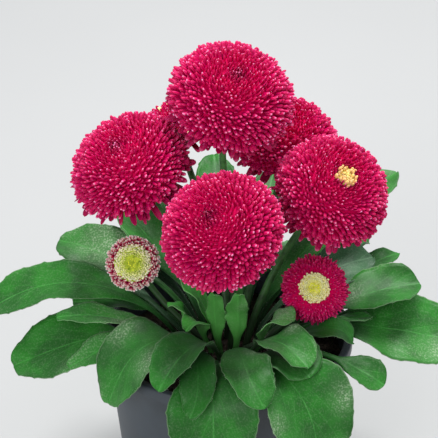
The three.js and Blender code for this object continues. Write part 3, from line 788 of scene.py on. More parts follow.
def petal_spiral_tree():
    """Petals in golden-angle order over a dome, each from its root out to its tip."""
    tree, given = new_tree(
        "Petal Spiral",
        Object=PETAL_ZONES,
        Int=("Petals", "Seed"),
        Float=(
            "First Angle", "Last Angle", "Radius", "Height Above", "Height Below",
            "Root Share", "Reach", "Half Width", "Unevenness", "Splay",
        ),
        Material=("Finish",),
    )
    index = made(tree, "GeometryNodeInputIndex")

    def draw(low, high, offset):
        """A random value for each petal from the tree's seed."""
        seed = given["Seed"] + offset
        return random_value(tree, "FLOAT", Min=low, Max=high, ID=index, Seed=seed)

    order = (index + 0.5) / given["Petals"]
    start = given["First Angle"].math("COSINE")
    end = given["Last Angle"].math("COSINE")
    rise = order.math("POWER", PETAL_CROWDING) * (end - start) + start
    across = (rise * rise * -1 + 1).math("SQRT")
    turn = index * GOLDEN_ANGLE
    cosine, sine = turn.math("COSINE"), turn.math("SINE")
    above, below = given["Height Above"], given["Height Below"]
    flat = across * given["Radius"]
    tip = vector(flat * cosine, flat * sine, rise * ((rise > 0) * (above - below) + below))

    tint = draw(0, 1, 7)
    uneven = (tint < SHORT_PETALS) * SHORT_BY + draw(0, given["Unevenness"], 1)
    root = tip.scaled(given["Root Share"])
    span = tip.scaled(given["Reach"] - uneven - given["Root Share"])
    length = made(tree, "ShaderNodeVectorMath", {0: span}, "Value", operation="LENGTH")

    inward = vector(rise * cosine * -1, rise * sine * -1, across)
    aimed = made(tree, "FunctionNodeAlignRotationToVector", {"Vector": span}, axis="Z")
    facing = {"Rotation": aimed, "Vector": inward}
    opened = made(
        tree, "FunctionNodeAlignRotationToVector", facing, axis="Y", pivot_axis="Z"
    )
    splay = given["Splay"]
    wobble = [draw(splay * -1, splay, offset) for offset in (2, 3, 4)]
    rotation = turned(opened, vector(wobble[0], wobble[1], wobble[2] * 3))
    girth = given["Half Width"] * draw(*PETAL_GIRTHS, 5) * (between(order, 0, 0.35) * 0.5 + 0.55)
    size = vector(girth, girth, length)

    points = made(tree, "GeometryNodePoints", {"Count": given["Petals"], "Position": root})
    for label, value in (("order", order), ("tint", tint)):
        inputs = {"Geometry": points, "Name": label, "Value": value}
        points = made(tree, "GeometryNodeStoreNamedAttribute", inputs)
    mixed = order + draw(-ZONE_BLUR, ZONE_BLUR, 6)
    zone = (mixed > ZONE_STARTS[0]) + (mixed > ZONE_STARTS[1])
    petals = [
        on_points(given[label], points, rotation, size, zone.math("COMPARE", number, 0.1))
        for number, label in enumerate(PETAL_ZONES)
    ]
    return finish_tree(given, joined(*petals))


def head_turn(head):
    """The turn that tilts a head from upright towards its facing."""
    return UP.rotation_difference(leaning(head.tilt, head.facing))


def heart_of(head, share, last):
    """The closed heart from which petals stand: a dome out to an angle, on a shallow cone."""
    foot = -HEART_FOOT * head.radius
    profile = [(0, foot), (HEART_NECK * head.radius, foot)]
    for i in range(HEART_STEPS + 1):
        angle = radians(last) * (1 - i / HEART_STEPS)
        height = head.up if cos(angle) > 0 else head.down
        profile.append((share * head.radius * sin(angle), share * height * cos(angle)))
    return lathe(profile, HEART_SIDES)


def head_piece(head, node, tree, parts):
    """One object with all the petals or florets that stand for one CAD node of a head."""
    bands = [band for band in BANDS[head.name] if band.node == node]
    root, last, finish_name = bands[0].root, bands[0].last, bands[0].finish
    if node == "petals":
        heart, material = heart_of(head, root + HEART_OVER_PETALS, HEART_LAST), "Heart"
    else:
        heart = heart_of(head, root + HEART_OVER_FLORETS, max(last - 2, 6))
        material = "Green Heart" if finish_name == "Florets" else "Cream Heart"
    mesh = smooth_mesh("heart", *heart)
    mesh.materials.append(finish(material))
    for number, band in enumerate(bands):
        kinds = dict(zip(PETAL_ZONES, PETAL_SETS[band.petals]))
        values = {
            **{zone: parts[kind] for zone, kind in kinds.items()},
            "Petals": round(band.count * settings("heads").fullness),
            "First Angle": radians(band.first),
            "Last Angle": radians(band.last),
            "Radius": head.radius,
            "Height Above": head.up,
            "Height Below": head.down,
            "Root Share": band.root,
            "Reach": band.reach,
            "Half Width": band.half_width * settings("heads").petal_width,
            "Unevenness": band.uneven,
            "Splay": radians(band.splay),
            "Seed": 10 * HEADS.index(head) + number + 1,
            "Finish": finish(band.finish),
        }
        mesh = grown(mesh, tree, values)
    mesh.shade_smooth()
    place = Matrix.Translation(Vector(head.centre) * MM)
    mesh.transform(place @ head_turn(head).to_matrix().to_4x4() @ Matrix.Scale(MM, 4))
    mesh.name = f"{head.name}_{node}_dressed"
    return linked(mesh)


# Leaves


def midrib(leaf):
    """One arch from the soil out to the tip."""
    place, root_bearing, out = ROOTS[leaf.name]
    tip = polar(leaf.reach, radians(leaf.bearing), leaf.tip)
    start = place + out * ROOT_ABOVE
    across = tip - start
    heading = atan2(across.y, across.x) + radians(leaf.sway)
    pitch = radians(leaf.pitch)
    ahead = polar(cos(pitch), heading, sin(pitch))
    lift = leaning(leaf.lean, root_bearing) * leaf.lift
    return Arch(start, start + lift, tip - ahead * (leaf.lead * across.length), tip)


def blade_growth(leaf, u):
    """0 on the stalk and 1 from where the blade is widest, with a soft step between."""
    return smooth((u - leaf.stalk) / (leaf.widest - leaf.stalk))


def blade_half_width(leaf, u):
    if u < leaf.widest:
        return mix(BLADE_STALK_HALF, leaf.width / 2, blade_growth(leaf, u))
    x = (u - leaf.widest) / (1.002 - leaf.widest)
    return leaf.width / 2 * sqrt(1 - x * x)


def margin_tooth(leaf, along, side):
    """How far the margin stands out there: small points with gentle bays between them."""
    place = along / TOOTH_SPACING + 0.37 * side + 0.11 * leaf.width
    from_point = (place % 1 - 0.5) * TOOTH_SPACING
    point = exp(-((from_point / TOOTH_WIDTH) ** 2))
    return TOOTH_HEIGHT * (point - 0.3 * cos(2 * pi * place))


def blade_mesh(leaf, number):
    """The vertices, faces and attributes of one leaf, from its root in the soil to its tip."""
    rib = midrib(leaf)
    place, _, out = ROOTS[leaf.name]
    level = UP.cross(polar(1, radians(leaf.bearing)))
    tops, unders, marks = [], [], []
    for row in range(BLADE_ROWS + 1):
        centre, tangent, u = place - out * ROOT_DEPTH, out, 0.0
        if row > 0:
            u = 1 - (1 - (row - 1) / (BLADE_ROWS - 1)) ** BLADE_CROWDING
            centre, tangent = rib.place(u)
        side = square_to(tangent, level)
        side.rotate(Quaternion(tangent, radians(leaf.roll) * smooth(u)))
        normal = tangent.cross(side)
        along = u * rib.length
        blade = blade_growth(leaf, u)
        half = blade_half_width(leaf, u)
        frill_turn = FRILL_START + FRILL_RATE * (1 - (1 - u) ** (1 / FRILL_SPACING))
        for column in range(BLADE_COLUMNS + 1):
            t = 1 - 2 * column / BLADE_COLUMNS
            x = copysign(abs(t) ** COLUMN_CROWDING, t)
            tooth = blade * margin_tooth(leaf, along, copysign(1, x))
            out_to = x * half + copysign(tooth, x) * abs(x) ** 6 * min(1, half / 4)
            frill = leaf.wave * sin(frill_turn + FRILL_LAG * x) * x * x
            drift = noise.noise(Vector((out_to, along, 31 * number)) / RUMPLE_SIZE)
            rumple = leaf.rumple * drift * (0.3 + abs(x))
            vein = (along - abs(out_to) * VEIN_SLOPE) / VEIN_SPACING
            quilting = QUILT_DEPTH * abs(x) * (1 - abs(x)) * abs(sin(pi * vein))
            groove = GROOVE_DEPTH * exp(-((out_to / GROOVE_WIDTH) ** 2))
            shape = blade * (leaf.cup * half * x * x + frill + rumple + leaf.raised)
            stalk_half = 0.75 * sqrt(max(0, 1 - x * x)) + 0.05
            thick = mix(stalk_half, BLADE_TOP * (1.1 - 0.6 * x * x), blade)
            above = thick + blade * (quilting - groove)
            below = thick + blade * (groove * 1.4 - 0.6 * quilting)
            middle = centre + side * out_to
            tops.append(middle + normal * (shape + above))
            unders.append(middle + normal * (shape - below))
            # Whitish spots of down with painted sheen, placed across and along the leaf
            patch = 0.0
            for patch_across, patch_along, radius in leaf.patches:
                away = hypot((x - patch_across) * half, (u - patch_along) * rib.length)
                patch = max(patch, exp(-((away / radius) ** 2)))
            marks.append((x, along, half, blade, along / leaf.foot, patch, leaf.shade))
    labels = ("across", "along", "half", "grown", "foot", "patch", "shade")
    attributes = {label: values * 2 for label, values in zip(labels, zip(*marks))}
    attributes["under"] = [0.0] * len(tops) + [1.0] * len(unders)
    return tops + unders, strip_faces(BLADE_ROWS + 1, BLADE_COLUMNS + 1), attributes


def strip_faces(rows, columns):
    """The faces of a closed strip between an upper and a lower grid of points."""
    faces = []
    below = rows * columns
    for i in range(rows - 1):
        for a in range(i * columns, (i + 1) * columns - 1):
            b, c, d = a + 1, a + 1 + columns, a + columns
            faces.append((a, b, c, d))
            faces.append((below + a, below + d, below + c, below + b))
    edges = (
        (range(0, below, columns), 1),
        (range(columns - 1, below, columns), -1),
        (range(columns), -1),
        (range(below - columns, below), 1),
    )
    for edge, way in edges:
        for pair in zip(edge, edge[1:]):
            p, q = pair[::way]
            faces.append((p, q, below + q, below + p))
    return faces


def hair_tree():
    """Fine hairs scattered over a leaf from a share of its half-width out to its margins."""
    tree, given = new_tree(
        "Fine Hairs",
        Object=("Hair",),
        Float=("Density", "Length", "Thickness", "Margin From"),
        Int=("Seed",),
        Material=("Finish",),
    )
    across = made(tree, "GeometryNodeInputNamedAttribute", {"Name": "across"})
    points, upright = scattered(given, abs(across) > given["Margin From"])
    low, high = (-HAIR_LEAN, -HAIR_LEAN, 0), (HAIR_LEAN, HAIR_LEAN, WHOLE_TURN)
    lean = random_value(tree, "FLOAT_VECTOR", Min=low, Max=high, Seed=given["Seed"])
    size = vector(given["Thickness"], given["Thickness"], given["Length"])
    return finish_tree(given, on_points(given["Hair"], points, turned(upright, lean), size))


def hair_part():
    """A three-sided closed spike along +Z that ends at 1."""
    corners = [(cos(a), sin(a), -0.05) for a in (0, 2.0944, 4.1888)]
    faces = [(2, 1, 0), (0, 1, 3), (1, 2, 3), (2, 0, 3)]
    return hidden_part("hair", [*corners, (0, 0, 1)], faces)


# Stalks


def tube(rib, first_direction, start, radii, sides):
    """A ribbed stalk from its foot in the soil along its arch."""
    vertices = []
    for i, radius in enumerate(radii):
        centre, tangent = start, first_direction
        if i > 0:
            centre, tangent = rib.place((i - 1) / (len(radii) - 2))
        side = square_to(tangent, Vector((1, 0, 0)))
        across = tangent.cross(side)
        for k in range(sides):
            a = 2 * pi * k / sides
            ribbing = 1 + RIB_DEPTH * cos(STALK_RIBS * a)
            out = side * cos(a) + across * sin(a)
            vertices.append(centre + out * radius * ribbing)
    return vertices, ring_faces(len(radii), sides)


def bract(radius, top, foot, bearing, length):
    """One pointed green bract that lies against the cup and ends free under the petals."""
    out = polar(1, radians(bearing))
    side = UP.cross(out)
    path = (
        (0.16, mix(foot, top, 0.15), 0.07),
        (0.3, mix(foot, top, 0.6), 0.1),
        (mix(0.36, length, 0.4), top - 0.1, 0.11),
        (mix(0.36, length, 0.8), top + 0.03 * radius, 0.07),
        (length, top + 0.02 * radius, 0.012),
    )
    vertices = []
    for reach, height, width in path:
        point = out * (reach * radius) + UP * height
        for x, y in BRACT_SECTION:
            vertices.append(point + side * (x * width * radius) + UP * y)
    return vertices, ring_faces(len(path), len(BRACT_SECTION))


def stalk_mesh(head):
    """A stalk, its cup and its bracts in the plant's frame."""
    place, bearing, out = ROOTS[head.name]
    start = place + out * ROOT_ABOVE
    top = -head.radius * HEART_FOOT - 0.3
    foot = top - head.radius * CUP_DEPTH
    turn = head_turn(head)
    centre = Vector(head.centre)
    end = centre + turn @ Vector((0, 0, mix(foot, top, 0.5)))
    reach = (end - start).length
    lean = leaning(head.lean, bearing) * (reach * 0.45)
    rib = Arch(start, start + lean, end - turn @ UP * (reach * 0.35), end)
    radius = BUD_STALK_RADIUS if head.bud else STALK_RADIUS
    taper = STALK_TAPER / (STALK_RINGS - 2)
    radii = [radius * (STALK_GIRTH - taper * i) for i in range(STALK_RINGS)]
    cup = head.radius * CUP_RADIUS
    profile = [
        (0, foot - radius),
        (1.2 * radius, foot),
        (0.62 * cup, mix(foot, top, 0.25)),
        (0.85 * cup, mix(foot, top, 0.6)),
        (0.95 * cup, top),
        (0, top + 0.1),
    ]
    upper = [lathe(profile, 24)]
    for k in range(BRACT_COUNT):
        length = BRACT_REACH * (1.12 if k % 2 else 1)
        upper.append(bract(head.radius, top, foot, 360 * k / BRACT_COUNT, length))
    pieces = [tube(rib, out, place - out * ROOT_DEPTH, radii, STALK_SIDES)]
    for vertices, faces in upper:
        pieces.append(([centre + turn @ Vector(v) for v in vertices], faces))
    return combined(pieces)


# Soil and pot


def pot_radius(z):
    return mix(POT_BASE, POT_RIM - POT_LIP_STEP, z / (POT_HEIGHT - POT_LIP_HEIGHT))


def soil_mesh():
    """The mound of potting mix with a lumpy top, down to the pot's floor."""
    low = POT_FLOOR + SOIL_GAP
    wall = POT_WALL + SOIL_GAP
    foot = pot_radius(low) - wall
    edge = pot_radius(SOIL_EDGE) - wall
    top = [edge * (1 - i / SOIL_RINGS) for i in range(SOIL_RINGS)]
    profile = [(0, low), (foot - 1, low), (foot, low + 1)]
    profile += [(r, soil_height(r)) for r in top] + [(0, SOIL_CROWN)]
    vertices, faces = lathe(profile, POT_SIDES)
    lumpy = []
    for x, y, z in vertices:
        if z > SOIL_EDGE - 0.5:
            calm = smooth((edge - hypot(x, y)) / 3)
            large, small = (noise.noise(Vector((x, y, 0)) / size) for size in LUMP_SIZES)
            z += calm * (SOIL_LUMP * large + 0.5 * SOIL_LUMP * small)
        lumpy.append((x, y, z))
    return lumpy, faces


def crumb_part(number):
    """A small angular lump of about unit radius."""
    work = bmesh.new()
    bmesh.ops.create_icosphere(work, subdivisions=1, radius=1)
    draw = random.Random(number)
    for vertex in work.verts:
        vertex.co *= draw.uniform(*CRUMB_BUMPS)
        vertex.co.z *= CRUMB_FLATNESS
    mesh = bpy.data.meshes.new("crumb")
    work.to_mesh(mesh)
    work.free()
    return bpy.data.objects.new(f"crumb_{number}", mesh)


def crumb_tree():
    """Crumbs of potting mix scattered on whatever faces up."""
    tree, given = new_tree(
        "Soil Crumbs",
        Object=("Crumb",),
        Float=("Density", "Smallest", "Largest"),
        Int=("Seed",),
        Material=("Finish",),
    )
    upward = made(tree, "GeometryNodeInputNormal").height() > 0.5
    limits = {"Min": given["Smallest"], "Max": given["Largest"]}
    size = random_value(tree, "FLOAT", Seed=given["Seed"], **limits)
    angles = random_value(tree, "FLOAT_VECTOR", Min=(0, 0, 0), Max=(WHOLE_TURN,) * 3)
    turn = made(tree, "FunctionNodeEulerToRotation", {0: angles})
    points, _ = scattered(given, upward)
    return finish_tree(given, on_points(given["Crumb"], points, turn, size))


def pot_object():
    """The thin-walled pot with a rounded lip, moulded steps and drain holes."""
    lip = POT_HEIGHT - POT_LIP_HEIGHT
    inner = POT_RIM - POT_LIP_STEP - POT_WALL + 0.4
    floor = pot_radius(POT_FLOOR) - POT_WALL
    profile = [
        (0, 0), (POT_BASE - 2.4, 0), (POT_BASE - 0.9, 0.3), (POT_BASE - 0.1, 1.5),
        (pot_radius(3), 3), *((pot_radius(lip * k / 8), lip * k / 8) for k in range(1, 8)),
        (pot_radius(lip) - 0.05, lip - 0.5), (pot_radius(lip) + 0.15, lip - 0.1),
        (POT_RIM - 0.5, lip), (POT_RIM - 0.12, lip + 0.15), (POT_RIM, lip + 0.6),
        (POT_RIM, POT_HEIGHT - 0.9), (POT_RIM - 0.2, POT_HEIGHT - 0.3),
        (POT_RIM - 0.7, POT_HEIGHT), (inner + 0.7, POT_HEIGHT),
        (inner + 0.15, POT_HEIGHT - 0.3), (inner, POT_HEIGHT - 0.9),
        (pot_radius(lip - 1) - POT_WALL, lip - 1), (floor + 0.1, POT_FLOOR + 1.2),
        (floor - 1, POT_FLOOR), (0, POT_FLOOR),
    ]
    pot = finished("pot_moulded", *lathe(profile, POT_SIDES), "Pot")
    bit, bit_faces = lathe([(0, -2), (DRAIN_RADIUS, -2), (DRAIN_RADIUS, 5), (0, 5)], 32)
    holes = []
    for k in range(DRAIN_HOLES):
        a = 2 * pi * k / DRAIN_HOLES
        x, y = DRAIN_RING * cos(a), DRAIN_RING * sin(a)
        holes.append(([(vx + x, vy + y, vz) for vx, vy, vz in bit], bit_faces))
    drill = finished("drill", *combined(holes))
    cut = pot.modifiers.new("Drain Holes", "BOOLEAN")
    cut.operation = "DIFFERENCE"
    cut.solver = "EXACT"
    cut.object = drill
    mesh = evaluated(pot)
    pot.modifiers.clear()
    pot.data = mesh
    bpy.data.objects.remove(drill)
    mesh.shade_smooth()
    mesh.set_sharp_from_angle(angle=radians(SHARP_ANGLE))
    return pot


# Finishes


def own_colour(colour):
    """A colour as it is given, or the user's own where a family and property name it."""
    if isinstance(colour, str):
        family, name = colour.split(".")
        return getattr(settings(family), name)
    return colour


def surface(name, base, roughness, specular, **sockets):
    """The Principled shader of a new material; uniform values go on its sockets."""
    material = bpy.data.materials.new(name)
    material.use_nodes = True
    shader = material.node_tree.nodes["Principled BSDF"]
    wire(shader.inputs["Base Color"], base)
    wire(shader.inputs["Roughness"], roughness)
    wire(shader.inputs["Specular IOR Level"], specular)
    for key, value in sockets.items():
        wire(shader.inputs[key.replace("_", " ").title()], value)
    return shader


def attribute(shader, name):
    return made(shader.id_data, "ShaderNodeAttribute", output="Fac", attribute_name=name)


def own_place(shader):
    return made(shader.id_data, "ShaderNodeTexCoord", output="Object")


def spotted(shader, scale, detail=3, rough=0.55):
    """Noise on the piece's own Object coordinates; the scale is in spots for each metre."""
    place = own_place(shader)
    inputs = {"Vector": place, "Scale": scale, "Detail": detail, "Roughness": rough}
    return made(shader.id_data, "ShaderNodeTexNoise", inputs)


def ramp(value, stops, base):
    """A colour ramp through stops of [place, colour or share of the base colour]."""
    node = add(value.tree, "ShaderNodeValToRGB", {0: value})
    elements = node.color_ramp.elements
    while len(elements) < len(stops):
        elements.new(0.5)
    for element, (place, colour) in zip(elements, stops):
        if not isinstance(colour, tuple):
            colour = [colour * c for c in base]
        element.position = place
        element.color = (*colour, 1)
    return Value(node.outputs[0])


def blended(share, low, high):
    """A colour between two others."""
    inputs = {"Factor": share, "A": low, "B": high}
    return made(share.tree, "ShaderNodeMix", inputs, "Result", data_type="RGBA")


def bumped(shader, height, strength, distance):
    inputs = {"Height": height, "Strength": strength, "Distance": distance}
    wire(shader.inputs["Normal"], made(shader.id_data, "ShaderNodeBump", inputs))


def petal_finish(name, stops, tip_highlight=0, outer=None, scatter=(1, 0.15, 0.3)):
    """Petals, root to tip, each a little darker or lighter, some with painted highlights."""
    shader = surface(
        name, PETAL_BASE, 0.5, 0.14,
        subsurface_weight=0.4, subsurface_radius=scatter, subsurface_scale=0.0015,
    )
    along, tint = attribute(shader, "along"), attribute(shader, "tint")
    colour = ramp(along, stops, settings("heads").crimson)
    if outer:
        shift = between(along, 0.2, 0.8) * between(attribute(shader, "order"), 0, 0.8)
        colour = blended(shift, colour, outer)
    shade = tint * 0.3 + 0.8
    if tip_highlight:
        shade *= between(attribute(shader, "order"), 0, 0.07) * 0.45 + 0.55
    colour = colour.scaled(shade)
    if tip_highlight:
        # Painted highlights: dots at some tips, and streaks along the ridges and edges
        across = abs(attribute(shader, "across"))
        dot = between(along, 0.93, 0.985) * between(tint, 0.62, 0.94)
        edge = between(across, 0.75, 1) * between(along, 0.45, 0.95)
        ridge_glint = between(across, 0.45, 0.1) * between(along, 0.68, 0.92) * between(tint, 0.2, 0.9)
        painted_highlight = dot.math("MAXIMUM", (ridge_glint + edge) * 0.19) * tip_highlight
        colour = blended(painted_highlight, colour, settings("heads").highlight_pink)
    wire(shader.inputs["Base Color"], colour)
    bumped(shader, spotted(shader, 900, 2), 0.25, 0.0002)


def leaf_finish(name, light, deep, down, under):
    """Leaf green with lighter midrib, veins and rim, painted foot shade, down and painted sheen."""
    light = own_colour(light)
    shader = surface(name, light, 0.45, 0.2, sheen_weight=0.02)
    across = abs(attribute(shader, "across"))
    side = across * attribute(shader, "half")
    blade = attribute(shader, "grown")
    fine = spotted(shader, 900, 4)
    colour = blended(between(spotted(shader, 70), 0.38, 0.62), deep, light)
    colour = blended(fine * 0.5, colour, deep)

    vein = (attribute(shader, "along") - side * VEIN_SLOPE) / VEIN_SPACING
    wave = vein.math("PINGPONG", 0.5)
    thin = between(wave, 0.09, 0) * between(across, 0.95, 0.3) * 0.5
    veins = thin.math("MAXIMUM", between(side, 0.42, 0.15))
    veins = veins * (between(spotted(shader, 260), 0.3, 0.6) * 0.3 + 0.15) * blade
    colour = blended(veins, colour, [1.6 * c + 0.04 for c in light])

    # Whitish down in random spots and a fine grain, and the placed spots of down with painted sheen
    grain = between(spotted(shader, 1400, 2), 0.45, 0.7)
    patch = attribute(shader, "patch") * (grain * 0.65 + 0.2)
    down_and_sheen = between(spotted(shader, 34, 1, 0.5), 0.52, 0.75) * (across * 0.7 + 0.3)
    down_and_sheen = down_and_sheen * (grain * 0.5 + 0.1)
    down_and_sheen = down_and_sheen.math("MAXIMUM", (grain * 0.1).math("MAXIMUM", patch))
    colour = blended(down_and_sheen, colour, down)
    colour = blended(between(across, 0.965, 1) * blade * 0.4, colour, down)
    # Painted shade: the leaf darkens from its foot length in towards its root
    colour = blended(between(attribute(shader, "foot"), 1, 0.1) * 0.8, colour, LEAF_FOOT_SHADE)
    colour = blended(attribute(shader, "under") * 0.6, colour, under)
    # Painted light and shade: each leaf's colour scaled lighter or darker by its own value
    wire(shader.inputs["Base Color"], colour.scaled(attribute(shader, "shade")))
    bumped(shader, fine * 0.4 + wave * blade, 0.35, 0.0003)


def mottled_finish(name, base, roughness, specular, spots, stops, grain=None):
    """A finish whose colour wanders over its spots, with a fine grain."""
    base = own_colour(base)
    shader = surface(name, base, roughness, specular)
    cloud = spotted(shader, *spots)
    colour = ramp(cloud, stops, base)
    if name == "Stalk":
        # Painted shade: the stalk darkens towards the soil
        out_of_shade = between(own_place(shader).height(), *STALK_SHADE_FADES)
        colour = blended(out_of_shade, STALK_FOOT_SHADE, colour)
    elif name == "Pot":
        wire(shader.inputs["Roughness"], between(cloud, 0.2, 0.8) * 0.2 + 0.4)
    wire(shader.inputs["Base Color"], colour)
    if grain:
        grain_spots, strength, depth = grain
        bumped(shader, spotted(shader, *grain_spots), strength, depth)


def finish(name):
    """The material of this name, made when it is first asked for."""
    if name not in bpy.data.materials:
        if name in PETAL_FINISHES:
            petal_finish(name, *PETAL_FINISHES[name])
        elif name in LEAF_FINISHES:
            leaf_finish(name, *LEAF_FINISHES[name])
        else:
            mottled_finish(name, *MOTTLED_FINISHES[name])
    return bpy.data.materials[name]


# Settings that a user would change


def colour_setting(name, description, default):
    return FloatVectorProperty(
        name=name, description=description, default=default, size=3, min=0, max=1, subtype="COLOR"
    )


def number_setting(name, description, default, **limits):
    return FloatProperty(name=name, description=description, default=default, **limits)


class DaisyPotSettings(bpy.types.PropertyGroup):
    grey: colour_setting("Pot Grey", "Colour of the pot's plastic", (0.045, 0.056, 0.068))


class DaisySoilSettings(bpy.types.PropertyGroup):
    brown: colour_setting("Soil Brown", "Colour of the potting mix", (0.035, 0.022, 0.014))
    crumbs: number_setting(
        "Crumbs", "Crumbs on each square metre of the soil's top", 420000, min=0
    )
    crumb_size: number_setting(
        "Crumb Size", "Radius of the largest crumbs", 0.0011, min=0.0001, subtype="DISTANCE"
    )


class DaisyHeadSettings(bpy.types.PropertyGroup):
    crimson: colour_setting(
        "Crimson", "Colour of the petals below their tips", (0.595, 0.0, 0.104)
    )
    # The colour of the painted highlights on the petals' tips, ridges and edges
    highlight_pink: colour_setting("Tip Pink", "Colour of the petals' tips", (0.98, 0.3, 0.53))
    petal_width: number_setting(
        "Petal Width", "Width of a petal against the one in the table", 1,
        min=0.2, max=2, subtype="FACTOR",
    )
    fullness: number_setting(
        "Fullness", "Number of petals against the one in the table", 1,
        min=0.1, max=1.5, subtype="FACTOR",
    )


class DaisyLeafSettings(bpy.types.PropertyGroup):
    green: colour_setting("Leaf Green", "Colour of most leaves", (0.026, 0.23, 0.02))
    grey_green: colour_setting("Grey Green", "Colour of the downy leaves", (0.07, 0.18, 0.08))
    hair_length: number_setting(
        "Hair Length", "Length of the fine hairs on margins", 0.0009, min=0, subtype="DISTANCE"
    )


class DaisyStalkSettings(bpy.types.PropertyGroup):
    green: colour_setting("Stalk Green", "Colour of stalks and bracts", (0.07, 0.26, 0.05))


class DaisyStudioSettings(bpy.types.PropertyGroup):
    floor: colour_setting("Floor", "Colour of the floor", (0.5, 0.505, 0.5))
    key_power: number_setting(
        "Key Light", "Power of the large soft light above", 13, min=0, unit="POWER"
    )
    camera_distance: number_setting(
        "Camera Distance", "Distance from the camera to the middle of the pot's rim", 0.9,
        min=0.3, subtype="DISTANCE",
    )


# Operators


class DAISY_OT_pot(bpy.types.Operator):
    """Builds the thin plastic pot"""

    bl_idname = "daisy.pot"
    bl_label = "Pot"

    def execute(self, context):
        seat(pot_object(), "pot")
        return {"FINISHED"}


class DAISY_OT_soil(bpy.types.Operator):
    """Builds the lumpy mound of potting mix with its crumbs"""

    bl_idname = "daisy.soil"
    bl_label = "Soil"

    def execute(self, context):
        mound = finished("soil_mound", *soil_mesh(), "Soil")
        tree = crumb_tree()
        for number in range(CRUMB_SHAPES):
            values = {
                "Crumb": crumb_part(number),
                "Density": settings("soil").crumbs / CRUMB_SHAPES,
                "Smallest": SMALLEST_CRUMB * settings("soil").crumb_size,
                "Largest": settings("soil").crumb_size,
                "Seed": number + 1,
                "Finish": finish("Soil"),
            }
            mound.data = grown(mound.data, tree, values)
        seat(mound, "soil")
        return {"FINISHED"}


class DAISY_OT_heads(bpy.types.Operator):
    """Builds the petals and florets of every open head and bud"""

    bl_idname = "daisy.heads"
    bl_label = "Flower Heads"

    def execute(self, context):
        parts = {kind: petal_part(kind) for kind in OUTLINES}
        tree = petal_spiral_tree()
        for head in HEADS:
            for node in dict.fromkeys(band.node for band in BANDS[head.name]):
                seat(head_piece(head, node, tree, parts), f"{head.name}_{node}")
        return {"FINISHED"}


class DAISY_OT_stalks(bpy.types.Operator):
    """Builds the flower stalks with their cups and bracts"""

    bl_idname = "daisy.stalks"
    bl_label = "Stalks"

    def execute(self, context):
        for head in HEADS:
            stalk = finished(f"{head.name}_stem", *stalk_mesh(head), "Stalk")
            seat(stalk, f"{head.name}_stalk")
        return {"FINISHED"}


class DAISY_OT_leaves(bpy.types.Operator):
    """Builds the spoon-shaped leaves with their veins and fine hairs"""

    bl_idname = "daisy.leaves"
    bl_label = "Leaves"

    def execute(self, context):
        tree = hair_tree()
        hair = hair_part()
        for number, leaf in enumerate(LEAVES):
            grey = "grey" in leaf.name
            kind = "Grey Leaf" if grey else "Young Leaf" if "inner" in leaf.name else "Leaf"
            vertices, faces, attributes = blade_mesh(leaf, number)
            blade = finished(f"blade_{leaf.name}", vertices, faces, kind, attributes)
            values = {
                "Hair": hair,
                "Density": HAIR_DENSITY,
                "Length": settings("leaves").hair_length,
                "Thickness": HAIR_THICKNESS,
                "Margin From": 0 if grey or "hairy" in leaf.name else HAIRY_MARGIN,
                "Seed": number + 1,
                "Finish": finish("Down"),
            }
            blade.data = grown(blade.data, tree, values)
            seat(blade, f"leaf_{leaf.name}")
        return {"FINISHED"}


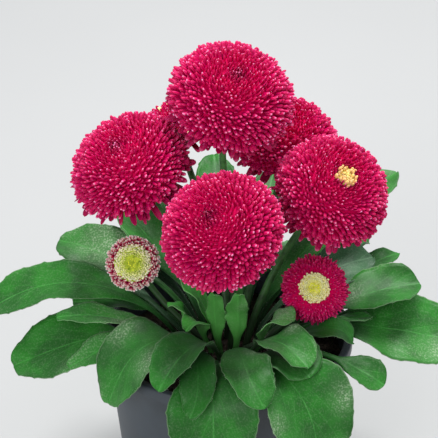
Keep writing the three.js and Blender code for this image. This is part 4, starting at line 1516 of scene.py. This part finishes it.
class DAISY_OT_studio(bpy.types.Operator):
    """Adds the pale floor, soft light and camera"""

    bl_idname = "daisy.studio"
    bl_label = "Studio"

    def execute(self, context):
        studio, scene = settings("studio"), context.scene
        signs = ((-1, -1), (1, -1), (1, 1), (-1, 1))
        corners = [(x * FLOOR_HALF, y * FLOOR_HALF, 0) for x, y in signs]
        finished("floor", corners, [(0, 1, 2, 3)], "Floor")
        scene.world = bpy.data.worlds.new("Studio")
        scene.world.use_nodes = True
        sky = scene.world.node_tree.nodes["Background"]
        wire(sky.inputs["Color"], SKY_COLOUR)
        wire(sky.inputs["Strength"], SKY_STRENGTH)
        for name, (place, power, width) in LIGHTS.items():
            lamp = bpy.data.lights.new(name, "AREA")
            lamp.energy = power * studio.key_power
            lamp.size = width
            light = bpy.data.objects.new(name, lamp)
            light.location = place
            aim = LIGHT_AIM - Vector(place)
            light.rotation_euler = aim.to_track_quat("-Z", "Y").to_euler()
            scene.collection.objects.link(light)
        scene.view_settings.view_transform = "Standard"
        scene.camera = self.camera(scene, studio.camera_distance)
        return {"FINISHED"}

    def camera(self, scene, distance):
        """The camera at the photograph's angle, with the pot's rim where the photograph has it."""
        data = bpy.data.cameras.new("Camera")
        data.sensor_width = 36
        data.lens = data.sensor_width * FOCAL_PIXELS / IMAGE_PIXELS
        data.clip_start = 0.05
        e = radians(CAMERA_ELEVATION)
        ahead = Vector((0, cos(e), -sin(e)))
        above = Vector((0, sin(e), cos(e)))
        right, down = (
            (rim_at - IMAGE_PIXELS / 2) * distance / FOCAL_PIXELS for rim_at in RIM_PIXEL
        )
        camera = bpy.data.objects.new("Camera", data)
        rim = UP * (POT_HEIGHT * MM)
        camera.location = rim - ahead * distance - Vector((1, 0, 0)) * right + above * down
        camera.rotation_euler = (pi / 2 - e, 0, 0)
        scene.collection.objects.link(camera)
        return camera


class DAISY_PT_panel(bpy.types.Panel):
    """Lists the pieces and their settings"""

    bl_idname = "DAISY_PT_panel"
    bl_label = "Potted English Daisy"
    bl_space_type = "VIEW_3D"
    bl_region_type = "UI"
    bl_category = "Daisy"

    def draw(self, context):
        for family, (group, operator) in FAMILIES.items():
            box = self.layout.box()
            box.operator(operator.bl_idname)
            for name in group.__annotations__:
                box.prop(settings(family), name)


FAMILIES = {
    "pot": (DaisyPotSettings, DAISY_OT_pot),
    "soil": (DaisySoilSettings, DAISY_OT_soil),
    "heads": (DaisyHeadSettings, DAISY_OT_heads),
    "stalks": (DaisyStalkSettings, DAISY_OT_stalks),
    "leaves": (DaisyLeafSettings, DAISY_OT_leaves),
    "studio": (DaisyStudioSettings, DAISY_OT_studio),
}


def register():
    for family, (group, operator) in FAMILIES.items():
        bpy.utils.register_class(group)
        bpy.utils.register_class(operator)
        setattr(bpy.types.Scene, f"daisy_{family}", PointerProperty(type=group))
    bpy.utils.register_class(DAISY_PT_panel)


def unregister():
    bpy.utils.unregister_class(DAISY_PT_panel)
    for family, (group, operator) in FAMILIES.items():
        delattr(bpy.types.Scene, f"daisy_{family}")
        bpy.utils.unregister_class(operator)
        bpy.utils.unregister_class(group)


def main():
    register()
    for family in FAMILIES:
        getattr(bpy.ops.daisy, family)()


if __name__ == "__main__":
    main()
